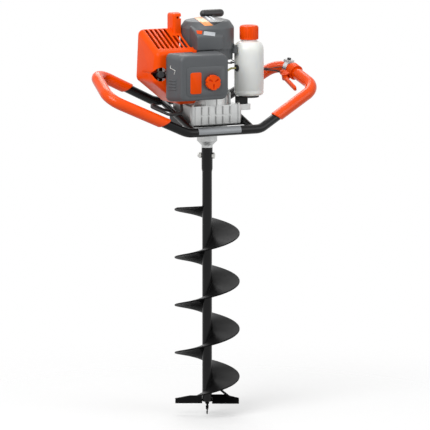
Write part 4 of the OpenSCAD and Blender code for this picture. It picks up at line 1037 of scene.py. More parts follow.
def sweep(name: str, route: Route, radii: float | Sequence[float], sides: int = 24,
          slant: Vector | None = None, reach: float = 40.0) -> bpy.types.Object:
    """Sweep a round section along a path.

    Args:
        name: Name of the object.
        route: The path.
        radii: One radius, or one for each point, in millimetres.
        sides: Steps round the section.
        slant: Normal of the plane that both ends are cut along.
        reach: Length over which a slanted end fades out.

    Returns:
        The new object, capped where the path is open.
    """
    count = len(route.points)
    sizes = [float(radii)] * count if isinstance(radii, (int, float)) else list(radii)
    far = route.distances()
    points: list[Vector] = []
    for i, here in enumerate(route.points):
        tangent, normal = route.tangents[i], route.normals[i]
        side = tangent.cross(normal)
        fade = max(0.0, 1.0 - min(far[i], far[-1] - far[i]) / reach)
        for k in range(sides):
            turn = math.tau * k / sides
            offset = (normal * math.cos(turn) + side * math.sin(turn)) * sizes[i]
            shift = 0.0 if slant is None else -offset.dot(slant) / tangent.dot(slant) * fade
            points.append(mm(here + offset + tangent * shift))
    runs = count if route.closed else count - 1
    faces: list[list[int]] = []
    for i in range(runs):
        a, b = i * sides, (i + 1) % count * sides
        for k in range(sides):
            n = (k + 1) % sides
            faces.append([a + k, a + n, b + n, b + k])
    if not route.closed:
        faces += [list(range(sides)), list(range((count - 1) * sides, count * sides))]
    return smooth(mesh_object(name, points, faces), 45.0)


class Recipe:
    """A Geometry Nodes tree with named inputs, baked to plain mesh."""

    def __init__(self, name: str) -> None:
        """Open an empty tree.

        Args:
            name: Name of the tree.
        """
        self.tree = bpy.data.node_groups.new(name, "GeometryNodeTree")
        self.tree.interface.new_socket(name="Geometry", in_out="OUTPUT", socket_type="NodeSocketGeometry")
        self.graph = Graph(self.tree)
        self.source = self.graph.add("NodeGroupInput")
        self.sink = self.graph.add("NodeGroupOutput")
        self.values: dict[str, object] = {}

    def give(self, name: str, value: object, *targets: bpy.types.NodeSocket,
             kind: str = "NodeSocketFloat") -> None:
        """Add a named input and link it where it is used.

        Args:
            name: Name of the input.
            value: Its value.
            targets: The sockets that it feeds.
            kind: Socket type.
        """
        socket = self.tree.interface.new_socket(name=name, in_out="INPUT", socket_type=kind)
        self.values[socket.identifier] = value
        for target in targets:
            self.graph.link(self.source.outputs[name], target)

    def bake(self, name: str, geometry: bpy.types.NodeSocket,
             material: bpy.types.Material) -> bpy.types.Object:
        """Close the tree and turn it into a mesh object.

        Args:
            name: Name of the object.
            geometry: The finished geometry.
            material: Its material.

        Returns:
            The new object.
        """
        solid = self.graph.add("GeometryNodeRealizeInstances", {0: geometry})
        paint = self.graph.add("GeometryNodeSetMaterial", {0: solid.outputs[0]})
        self.give("Material", material, paint.inputs["Material"], kind="NodeSocketMaterial")
        self.graph.link(paint.outputs[0], self.sink.inputs[0])
        obj = mesh_object(name, [], [])
        step = obj.modifiers.new("recipe", "NODES")
        step.node_group = self.tree
        for identifier, value in self.values.items():
            step[identifier] = value
        return smooth(settle(obj), 40.0)


class Shop:
    """Finishes pieces and seats them on the machine."""

    def __init__(self, finishes: Finishes) -> None:
        """Keep the finishes."""
        self.finishes = finishes

    def dress(self, obj: bpy.types.Object, look: Look) -> None:
        """Give a piece its finish and report it.

        Args:
            obj: The piece.
            look: Its finish.
        """
        mesh = obj.data
        mesh.materials.clear()
        mesh.materials.append(self.finishes.get(look))
        LOG.info("%s: %d faces in %s", obj.name, len(mesh.polygons), look.value.label)

    def seat(self, obj: bpy.types.Object, body: str, look: Look, slot: str, *replaced: str) -> None:
        """Finish a piece and let it ride on a body.

        Args:
            obj: The piece.
            body: The body that carries it.
            look: Its finish.
            slot: The record's material slot; not used.
            replaced: CAD nodes that it stands for.
        """
        self.dress(obj, look)
        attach(obj, body)
        if replaced:
            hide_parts(*replaced)


class Innards:
    """The CAD nodes that keep their own shape, each in its finish."""

    LOOKS = {
        Look.BIT_PAINT: ("cutter_blades", "pilot_point"),
        Look.BLACK_PAINT: ("bit_tube", "bit_socket", "mounting_plate", "bottle_bracket"),
        Look.CAST_ALLOY: ("output_neck", "gearbox_lower", "gearbox_upper", "clutch_bell", "crankcase",
                          "engine_cylinder", "piston", "connecting_rod", "carburettor", "flywheel",
                          "stop_switch"),
        Look.STEEL: ("coupling_bolt", "gearbox_bolts", "rod_pins", "cover_screws", "throttle_arm",
                     "spark_plug", "shaft_bearings", "gearbox_bearings"),
        Look.DARK_STEEL: ("output_spindle", "output_gear", "idler_cluster", "clutch_drum", "crankshaft",
                          "recoil_spring", "shoe_front", "shoe_rear"),
        Look.HEATED_STEEL: ("muffler",),
        Look.CHARCOAL: ("fan_case", "filter_base", "muffler_guard"),
        Look.BLACK_PLASTIC: ("ignition_coil", "intake_block", "starter_pulley", "pull_grip", "stop_button"),
        Look.ORANGE_GLOSS: ("filter_knob", "choke_lever", "lever_clamp"),
        Look.FOAM: ("filter_element",),
    }

    def __init__(self, nodes: dict[str, bpy.types.Object], shop: Shop) -> None:
        """Keep the CAD nodes and the shop."""
        self.nodes = nodes
        self.shop = shop

    def build(self) -> None:
        """Give each of these nodes its material."""
        for look, names in self.LOOKS.items():
            for name in names:
                self.shop.dress(self.nodes[name], look)


# Drill bit

@dataclass(frozen=True)
class DrillBit:
    """The flight, rolled from one plate, and the weld that holds it, in millimetres and degrees."""

    shop: Shop
    # Flight
    inner: float = 15.1
    outer: float = 100.0
    thick: float = 4.0
    edge: float = 0.9
    pitch: float = 148.0
    turns: float = 3.87
    turn_steps: int = 96
    start: float = -137.0
    base: float = 70.0
    # Weld
    bead: float = 2.6
    bead_step: float = 3.2
    bead_out: float = 0.4
    bead_stretch: float = 1.25

    def build(self) -> None:
        """Make the flight and its weld."""
        self.flight()
        self.weld()

    def helix(self, recipe: Recipe, radius: float) -> bpy.types.NodeSocket:
        """Add the helix that both pieces follow.

        Args:
            recipe: The tree to add it to.
            radius: Radius of the helix in millimetres.

        Returns:
            The helix as a curve.
        """
        spiral = recipe.graph.add("GeometryNodeCurveSpiral", {
            "Resolution": self.turn_steps, "Reverse": True})
        recipe.give("Turns", self.turns, spiral.inputs["Rotations"])
        recipe.give("Radius", radius * MM, spiral.inputs["Start Radius"], spiral.inputs["End Radius"])
        recipe.give("Rise", self.pitch * self.turns * MM, spiral.inputs["Height"])
        place = recipe.graph.add("GeometryNodeTransform", {
            0: spiral.outputs[0], "Translation": (0.0, 0.0, (self.base + self.thick / 2.0) * MM),
            "Rotation": (0.0, 0.0, math.radians(self.start))})
        return place.outputs[0]

    def flight(self) -> None:
        """Sweep a flat section with eased edges along the helix."""
        recipe = Recipe("flight_recipe")
        graph = recipe.graph
        path = self.helix(recipe, (self.inner + self.outer) / 2.0)
        upright = graph.add("GeometryNodeSetCurveNormal", {0: path}, mode="Z_UP")
        section = graph.add("GeometryNodeCurvePrimitiveQuadrilateral")
        recipe.give("Width", (self.outer - self.inner) * MM, section.inputs["Width"])
        recipe.give("Thickness", self.thick * MM, section.inputs["Height"])
        eased = graph.add("GeometryNodeFilletCurve", {0: section.outputs[0], "Radius": self.edge * MM})
        body = graph.add("GeometryNodeCurveToMesh", {
            "Curve": upright.outputs[0], "Profile Curve": eased.outputs[0], "Fill Caps": True})
        flight = recipe.bake("flight", body.outputs[0], self.shop.finishes.get(Look.BIT_PAINT))
        self.shop.seat(flight, "bit", Look.BIT_PAINT, "black_paint", "bit_flight")

    def weld(self) -> None:
        """Lay a row of overlapping beads where the flight meets the tube."""
        recipe = Recipe("weld_recipe")
        graph = recipe.graph
        run = math.hypot(math.tau * self.inner, self.pitch) * self.turns
        path = self.helix(recipe, self.inner + self.bead_out)
        dots = graph.add("GeometryNodeCurveToPoints", {0: path, "Count": round(run / self.bead_step)})
        bead = graph.add("GeometryNodeMeshIcoSphere", {"Subdivisions": 2})
        recipe.give("Bead", self.bead * MM, bead.inputs["Radius"])
        laid = graph.add("GeometryNodeInstanceOnPoints", {
            "Points": dots.outputs["Points"], "Instance": bead.outputs[0],
            "Scale": (1.0, 1.0, self.bead_stretch)})
        weld = recipe.bake("flight_weld", laid.outputs[0], self.shop.finishes.get(Look.BIT_PAINT))
        self.shop.seat(weld, "bit", Look.BIT_PAINT, "black_paint")


# Cylinder shroud

@dataclass(frozen=True)
class Shroud:
    """The orange hood over the cylinder, in millimetres."""

    shop: Shop
    # Hood
    far: float = -218.0
    near: float = -78.0
    front: float = -80.0
    rear: float = 58.0
    foot: float = 972.0
    foot_in: float = 77.0
    knee: float = 1052.0
    lean: float = 6.0
    front_top: float = 1140.0
    rear_top: float = 1194.0
    corner: float = 18.0
    wall: float = 3.0
    # Cowl
    cowl_balls: Box = ((-102.0, 16.0, 1160.0), (-58.0, 48.0, 1233.0))
    cowl_corner: float = 8.0
    # Openings
    partition: Box = ((-81.0, 0.0, 1104.0), (-18.0, 200.0, 1300.0))
    outside: Box = ((-300.0, -300.0, 900.0), (200.0, 300.0, 1300.0))
    intake: Box = ((-116.0, -200.0, 1010.0), (-52.0, 0.0, 1100.0))
    outlet: Box = ((-144.0, 0.0, 1008.0), (-52.0, 200.0, 1104.0))
    starter_at: Point = (0.0, 0.0, 1099.5)
    starter_radius: float = 85.0
    starter_span: Pair = (0.0, 300.0)
    plug_at: Point = (-196.0, 0.0, 1068.0)
    plug_radius: float = 21.0
    plug_span: Pair = (0.0, 138.0)
    # Louvres and vents
    louvres: int = 9
    louvre_from: float = -196.0
    louvre_step: float = 15.5
    louvre_width: float = 9.5
    louvre_corner: float = 4.0
    louvre_margin: float = 20.0
    louvre_span: Pair = (-30.0, 70.0)
    cowl_side: float = -114.0
    cowl_front: float = 2.0
    vents: int = 3
    vent: Box = ((-99.0, -10.0, 1225.0), (-93.0, 40.0, 1231.0))
    vent_step: float = 10.0

    def skin(self, name: str, inset: float) -> bpy.types.Object:
        """Make the hood's rounded form, set in by a wall.

        Args:
            name: Name of the form.
            inset: How far it is set in.

        Returns:
            The closed form.
        """
        r = self.corner
        front, rear, foot = self.front + r, self.rear - r, self.foot + r
        far, near = self.far + r, self.near + r
        low, high = far + self.foot_in, far + self.lean
        front_top, rear_top = self.front_top - r, self.rear_top - r
        places = [(far, front, self.knee), (far, rear, self.knee), (low, front, foot), (low, rear, foot),
                  (near, front, foot), (near, rear, foot), (near, front, front_top), (near, rear, rear_top),
                  (high, front, front_top), (high, rear, rear_top)]
        return wrap(name, [(place, r - inset) for place in places], 40)

    def cowl(self, name: str, inset: float) -> bpy.types.Object:
        """Make the raised cowl at the rear, set in by a wall.

        Args:
            name: Name of the form.
            inset: How far it is set in.

        Returns:
            The closed form.
        """
        sides, depths, levels = zip(*self.cowl_balls)
        balls = [((x, y, z), self.cowl_corner - inset) for x in sides for y in depths for z in levels]
        return wrap(name, balls, 24)

    def room(self) -> bpy.types.Object:
        """Make the hood's inside, which stops at the wall beside the starter."""
        room = combine(self.skin("room", self.wall), [self.cowl("cowl_room", self.wall)], Join.ADD)
        return combine(room, [block("wall", *self.partition)], Join.CUT)

    def slots(self) -> list[bpy.types.Object]:
        """Make the tools that cut the louvres, shorter before the cowl, and the cowl's vents.

        Returns:
            The tools.
        """
        tools = []
        span = (self.front_top + self.louvre_span[0], self.front_top + self.louvre_span[1])
        for i in range(self.louvres):
            x = self.louvre_from + i * self.louvre_step
            end = x + self.louvre_width
            rear = self.cowl_front if end > self.cowl_side else self.rear - self.louvre_margin
            outline = oblong((x, self.front + self.louvre_margin), (end, rear))
            tools.append(prism("slot", rounded(outline, [self.louvre_corner] * 4), span, Matrix.Identity(4)))
        for i in range(self.vents):
            low, high = ((x + self.vent_step * i, y, z) for x, y, z in self.vent)
            tools.append(block("vent", low, high))
        return tools

    def build(self) -> None:
        """Shape the hood, hollow it and cut its openings."""
        hood = combine(self.skin("shroud", 0.0), [self.cowl("cowl", 0.0)], Join.ADD)
        combine(hood, [self.room()], Join.CUT)
        low, high = self.outside
        starter = Matrix.Translation(mm(self.starter_at))
        tools = [block("near_side", (self.near, low[1], low[2]), high),
                 rod("starter_room", self.starter_radius, self.starter_span, starter),
                 block("intake", *self.intake), block("outlet", *self.outlet),
                 rod("plug_hole", self.plug_radius, self.plug_span, along(FRONT, self.plug_at))]
        combine(hood, tools + self.slots(), Join.CUT)
        smooth(hood, 28.0)
        self.shop.seat(hood, "machine", Look.ORANGE_GLOSS, "orange_plastic", "cylinder_shroud")


# Air filter

@dataclass(frozen=True)
class AirFilter:
    """The filter cover with its front pad, bare panel, ribs and spring clip, in millimetres."""

    shop: Shop
    # Cover
    x: float = -96.0
    z: float = 1060.0
    width: float = 178.0
    height: float = 146.0
    back: float = -100.0
    wall: float = 3.0
    flanks: tuple[tuple[float, Pair, float], ...] = (
        (0.0, (0.0, 0.0), 16.0), (14.0, (2.6, 0.8), 16.6), (29.0, (6.0, 2.2), 17.4))
    brow: float = 43.0
    brow_depth: float = 9.0
    brow_inset: Pair = (10.0, 4.0)
    brow_ease: float = 6.0
    brow_corner: float = 18.0
    brow_steps: int = 8
    notch: Box = ((-131.0, -109.0, 1094.0), (-85.0, -99.0, 1160.0))
    # Knob
    shank_at: Point = (-60.0, -100.0, 1045.0)
    shank_radius: float = 5.5
    shank_span: Pair = (0.0, 60.0)
    knob_at: Point = (-60.0, -140.0, 1045.0)
    knob_room: float = 24.5
    knob_span: Pair = (0.0, 40.0)
    # Pad and panel
    pad_frame: tuple[Pair, Pair] = ((-147.0, 1004.0), (-15.0, 1094.0))
    pad_corner: float = 14.0
    pad_span: Pair = (151.6, 153.4)
    pad_edge: float = 0.7
    panel_frame: tuple[Pair, Pair] = ((-134.0, 1012.0), (-97.0, 1077.0))
    panel_corner: float = 6.0
    panel_span: Pair = (153.2, 154.6)
    panel_edge: float = 0.5
    # Ribs and clip
    slant: Pair = (20.0, -43.0)
    rib_count: int = 4
    rib_from: Point = (-177.0, -119.0, 1026.0)
    rib_step: float = 9.0
    rib_size: Point = (28.0, 4.4, 4.6)
    rib_lift: float = 0.4
    rib_edge: float = 0.9
    clip_path: tuple[Point, ...] = ((-179.6, -113.0, 1098.0), (-181.4, -111.5, 1090.0),
                                    (-173.4, -131.0, 1084.0), (-175.0, -126.0, 1072.0))
    clip_bends: tuple[float, ...] = (0.0, 3.0, 3.0, 0.0)
    clip_radius: float = 1.3

    def ring(self, depth: float, inset: Pair, radius: float, wall: float) -> list[Vector]:
        """Give one section of the cover.

        Args:
            depth: Distance in front of the filter base.
            inset: How far the section is set in, across and in height.
            radius: Radius of its corners.
            wall: Further inset of the inner skin.

        Returns:
            Points of the section in metres.
        """
        half_x = self.width / 2.0 - inset[0] - wall
        half_z = self.height / 2.0 - inset[1] - wall
        outline = rounded(oblong((-half_x, -half_z), (half_x, half_z)), [radius - wall] * 4, 10)
        return [mm((self.x + inset[0] + x, self.back - depth, self.z + z)) for x, z in outline]

    def stations(self) -> list[tuple[float, Pair, float]]:
        """Give depth, inset and corner radius of each section, back to front.

        Returns:
            One row for each section.
        """
        rows = list(self.flanks)
        for k in range(self.brow_steps + 1):
            turn = math.radians(90.0 * k / self.brow_steps)
            ease = self.brow_ease * (1.0 - math.cos(turn))
            inset = (self.brow_inset[0] + ease, self.brow_inset[1] + ease)
            rows.append((self.brow + self.brow_depth * math.sin(turn), inset, self.brow_corner))
        return rows

    def build(self) -> None:
        """Make the cover and what it carries."""
        self.cover()
        self.pad()
        self.ribs()
        self.clip()

    def cover(self) -> None:
        """Loft the outer and the inner skin into one shell, with a notch and the knob's hole."""
        rows = self.stations()
        rings = [self.ring(depth, inset, radius, 0.0) for depth, inset, radius in rows]
        for depth, inset, radius in reversed(rows):
            rings.append(self.ring(depth - self.wall if depth else 0.0, inset, radius, self.wall))
        size = len(rings[0])
        points = [point for ring in rings for point in ring]
        faces: list[list[int]] = []
        for i in range(len(rings)):
            a, b = i * size, (i + 1) % len(rings) * size
            if i == len(rows) - 1:
                faces += [list(range(a, a + size)), list(range(b, b + size))]
                continue
            faces += [[a + k, a + (k + 1) % size, b + (k + 1) % size, b + k] for k in range(size)]
        cover = mesh_object("filter_cover_shell", points, faces)
        shank = rod("shank_hole", self.shank_radius, self.shank_span, along(FRONT, self.shank_at), 32)
        smooth(combine(cover, [block("notch", *self.notch), shank], Join.CUT), 30.0)
        self.shop.seat(cover, "machine", Look.CHARCOAL, "charcoal_plastic", "filter_cover")

    def pad(self) -> None:
        """Raise the front pad, open round the knob, and a bare orange panel on it."""
        place = axes((1.0, 0.0, 0.0), (0.0, 0.0, 1.0), FRONT, (0.0, 0.0, 0.0))
        outline = rounded(oblong(*self.pad_frame), [self.pad_corner] * 4, 8)
        pad = prism("filter_pad", outline, self.pad_span, place)
        hole = rod("knob_room", self.knob_room, self.knob_span, along(FRONT, self.knob_at))
        bevel(combine(pad, [hole], Join.CUT), self.pad_edge, 2, 40.0)
        self.shop.seat(pad, "machine", Look.CHARCOAL, "charcoal_plastic")
        outline = rounded(oblong(*self.panel_frame), [self.panel_corner] * 4)
        panel = bevel(prism("filter_panel", outline, self.panel_span, place), self.panel_edge, 2, 40.0)
        self.shop.seat(panel, "machine", Look.ORANGE_GLOSS, "orange_plastic")

    def ribs(self) -> None:
        """Set short ribs on the slanted left side."""
        lean = Vector((self.slant[0], self.slant[1], 0.0)).normalized()
        out = Vector((self.slant[1], -self.slant[0], 0.0)).normalized()
        recipe = Recipe("rib_recipe")
        graph = recipe.graph
        row = graph.add("GeometryNodeMeshLine", {
            "Count": self.rib_count, "Start Location": mm(self.rib_from),
            "Offset": (0.0, 0.0, self.rib_step * MM)})
        bar = graph.add("GeometryNodeMeshCube", {"Vertices X": 2, "Vertices Y": 2, "Vertices Z": 2})
        recipe.give("Bar", mm(self.rib_size), bar.inputs["Size"], kind="NodeSocketVector")
        laid = graph.add("GeometryNodeInstanceOnPoints", {
            "Points": row.outputs[0], "Instance": bar.outputs[0],
            "Rotation": (0.0, 0.0, math.atan2(lean.y, lean.x))})
        ribs = recipe.bake("filter_ribs", laid.outputs[0], self.shop.finishes.get(Look.CHARCOAL))
        ribs.data.transform(Matrix.Translation(out * (self.rib_lift * MM)))
        bevel(ribs, self.rib_edge, 3, 40.0)
        self.shop.seat(ribs, "machine", Look.CHARCOAL, "charcoal_plastic")

    def clip(self) -> None:
        """Bend the spring clip that holds the cover's left side."""
        route = Route(self.clip_path, self.clip_bends, step=1.0)
        clip = sweep("filter_clip", route, self.clip_radius, 12)
        self.shop.seat(clip, "machine", Look.STEEL, "steel")


# Starter

@dataclass(frozen=True)
class Foil:
    """A thin stripe or plate that lies on another piece.

    Attributes:
        name: Name of the foil.
        look: Its finish.
        slot: The record's material slot.
        corners: Its corners in the picture, in order.
        lift: Its thickness in millimetres.
    """

    name: str
    look: Look
    slot: str
    corners: tuple[Pair, ...]
    lift: float = 0.4


class View:
    """The photograph's flat view, which places trim on what carries it."""

    SCALE = 3.06
    AXIS = 207.1
    TIP = 415.0
    FAR = 3.0
    CELLS = 24
    GAP = 0.03

    def __init__(self, stage: Stage = Stage()) -> None:
        """Set the view's directions from the camera's.

        Args:
            stage: The stage that holds the camera.
        """
        turn, rise = math.radians(stage.azimuth), math.radians(stage.elevation)
        self.right = Vector((math.cos(turn), math.sin(turn), 0.0))
        level = Vector((-math.sin(turn), math.cos(turn), 0.0))
        self.ahead = level * math.cos(rise) - Vector((0.0, 0.0, math.sin(rise)))
        self.up = self.right.cross(self.ahead)

    def spot(self, across: float, down: float) -> Vector:
        """Give the point far in front of the machine that a place in the picture stands for.

        Args:
            across: Distance from the picture's left edge.
            down: Distance from its top edge.

        Returns:
            A point in metres.
        """
        u = (across - self.AXIS) * self.SCALE * MM
        w = (self.TIP - down) * self.SCALE * MM
        return self.right * u + self.up * w - self.ahead * self.FAR

    def lay(self, foil: Foil, carrier: bpy.types.Object) -> bpy.types.Object:
        """Lay a four-sided foil on a carrier.

        Args:
            foil: The foil.
            carrier: The piece that it lies on.

        Returns:
            The new object.
        """
        a, b, c, d = (Vector(corner) for corner in foil.corners)
        found: dict[tuple[int, int], tuple[Vector, Vector]] = {}
        for i in range(self.CELLS + 1):
            for k in range(self.CELLS + 1):
                spot = a.lerp(b, i / self.CELLS).lerp(d.lerp(c, i / self.CELLS), k / self.CELLS)
                hit, place, normal, _ = carrier.ray_cast(self.spot(spot.x, spot.y), self.ahead)
                if hit:
                    found[i, k] = (place, normal)
        order = {key: n for n, key in enumerate(found)}
        points = [place + normal * foil.lift * MM for place, normal in found.values()]
        faces = []
        for i, k in found:
            cell = [(i, k), (i + 1, k), (i + 1, k + 1), (i, k + 1)]
            if not all(key in order for key in cell):
                continue
            sides = [(found[cell[n]][0] - found[cell[n - 1]][0]).length for n in range(4)]
            if max(sides) < self.GAP:
                faces.append([order[key] for key in cell])
        obj = mesh_object(foil.name, points, faces)
        skin = obj.modifiers.new("skin", "SOLIDIFY")
        skin.thickness = foil.lift * MM
        skin.offset = 0.0
        return smooth(settle(obj), 40.0)


@dataclass(frozen=True)
class Starter:
    """The recoil starter's cover with its stripes, and the pull rope, in millimetres and degrees."""

    shop: Shop
    # Drum
    base: float = 1133.0
    radius: float = 82.0
    height: float = 92.0
    shoulder: float = 28.0
    brim: Pair = (14.0, 8.0)
    brim_inset: Pair = (0.6, 0.8)
    crown: float = 30.0
    rounds: tuple[float, ...] = (0.0, 0.0, 9.0, 9.0, 18.0, 0.0)
    wall: float = 3.0
    room_foot: float = -0.5
    drum_steps: int = 128
    # Nose, lugs and eyelet
    nose: tuple[Pair, ...] = ((-88.0, 0.0), (-30.0, 0.0), (-30.0, 74.0), (-62.0, 62.0), (-88.0, 44.0))
    nose_span: Pair = (-76.0, 12.0)
    nose_edge: float = 5.0
    lug_turns: tuple[float, ...] = (45.0, 120.0, -40.0)
    lug_reach: float = 87.0
    lug_profile: tuple[Pair, ...] = ((0.0, 0.0), (7.0, 0.0), (7.0, 9.0), (6.0, 10.0), (0.0, 10.0))
    lug_bore: float = 2.7
    lug_span: Pair = (-1.0, 12.0)
    eyelet_at: Point = (51.0, 55.0, 1207.0)
    eyelet_way: Point = (0.0, 0.5, 0.866)
    eyelet_radius: float = 2.5
    eyelet_span: Pair = (-20.0, 20.0)
    # Stripes and plates
    foils: tuple[Foil, ...] = (
        Foil("stripe_dark", Look.STRIPE_BLACK, "black_plastic",
             ((198.4, 15.0), (219.0, 15.0), (225.0, 22.0), (214.4, 27.0))),
        Foil("stripe_bright", Look.STRIPE_ORANGE, "orange_plastic",
             ((190.2, 15.6), (197.9, 15.2), (213.2, 27.4), (205.0, 28.0))),
        Foil("nose_bar", Look.ORANGE_GLOSS, "orange_plastic",
             ((196.4, 32.6), (202.4, 32.9), (202.0, 36.4), (197.4, 36.0))),
        Foil("nose_plate", Look.PALE_PLATE, "cast_alloy",
             ((204.2, 33.1), (215.4, 34.4), (214.9, 38.2), (203.6, 37.2))),
        Foil("stripe_line_0", Look.PALE_PLATE, "cast_alloy",
             ((202.6, 15.6), (204.2, 15.4), (211.0, 21.4), (209.4, 21.8)), 0.7),
        Foil("stripe_line_1", Look.PALE_PLATE, "cast_alloy",
             ((207.0, 15.6), (208.6, 15.4), (215.4, 21.4), (213.8, 21.8)), 0.7),
    )
    # Rope
    rope_path: tuple[Point, ...] = ((51.0, 4.0, 1159.0), (51.0, 27.3, 1159.0), (51.0, 59.5, 1214.8))
    rope_bends: tuple[float, ...] = (0.0, 12.0, 0.0)
    rope_radius: float = 2.0
    rope_free: Box = ((51.0, 55.5, 1207.8), (51.0, 59.0, 1214.0))

    def section(self, inset: float) -> list[Pair]:
        """Give half of the cover's section, set in by a wall.

        Args:
            inset: How far it is set in.

        Returns:
            Radius and height of each point.
        """
        foot = self.room_foot if inset else 0.0
        edge = (self.radius - self.brim[0] - self.brim_inset[0] * inset,
                self.height - self.brim[1] - self.brim_inset[1] * inset)
        corners = [(0.0, foot), (self.radius - inset, foot),
                   (self.radius - inset, self.height - self.shoulder), edge,
                   (self.crown, self.height - inset), (0.0, self.height - inset)]
        return rounded(corners, self.rounds, 8)

    def build(self) -> None:
        """Make the cover, its stripes and the rope."""
        cover = self.cover()
        self.stripes(cover)
        self.rope()

    def cover(self) -> bpy.types.Object:
        """Join the drum and the nose, hollow the drum and bore the holes.

        Returns:
            The cover.
        """
        base = Matrix.Translation(mm((0.0, 0.0, self.base)))
        cover = lathe("starter_shell", self.section(0.0), base, self.drum_steps)
        side = axes((0.0, 1.0, 0.0), (0.0, 0.0, 1.0), (1.0, 0.0, 0.0), (0.0, 0.0, self.base))
        nose = bevel(prism("nose", self.nose, self.nose_span, side), self.nose_edge, 5, 12.0)
        lugs, holes = [], []
        for angle in self.lug_turns:
            turn = math.radians(angle)
            at = (self.lug_reach * math.cos(turn), self.lug_reach * math.sin(turn), self.base)
            place = Matrix.Translation(mm(at))
            lugs.append(lathe("lug", self.lug_profile, place, 32))
            holes.append(rod("lug_hole", self.lug_bore, self.lug_span, place, 24))
        combine(cover, [nose] + lugs, Join.ADD)
        room = lathe("starter_room", self.section(self.wall), base, self.drum_steps)
        eyelet = along(self.eyelet_way, self.eyelet_at)
        bore = rod("eyelet", self.eyelet_radius, self.eyelet_span, eyelet, 24)
        combine(cover, [room, bore] + holes, Join.CUT)
        smooth(cover, 32.0)
        self.shop.seat(cover, "machine", Look.CHARCOAL, "charcoal_plastic", "starter_cover")
        return cover

    def stripes(self, cover: bpy.types.Object) -> None:
        """Lay the diagonal stripes on the top and the two-tone bar on the nose.

        Args:
            cover: The piece that carries them.
        """
        view = View()
        for foil in self.foils:
            self.shop.seat(view.lay(foil, cover), "machine", foil.look, foil.slot)

    def rope(self) -> None:
        """Run the rope off the pulley, out of the eyelet and into the pull grip."""
        route = Route(self.rope_path, self.rope_bends, step=1.5)
        rope = sweep("pull_rope", route, self.rope_radius, 16)
        self.shop.dress(rope, Look.ROPE)
        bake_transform(rope)
        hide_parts("starter_rope")


# Fuel system

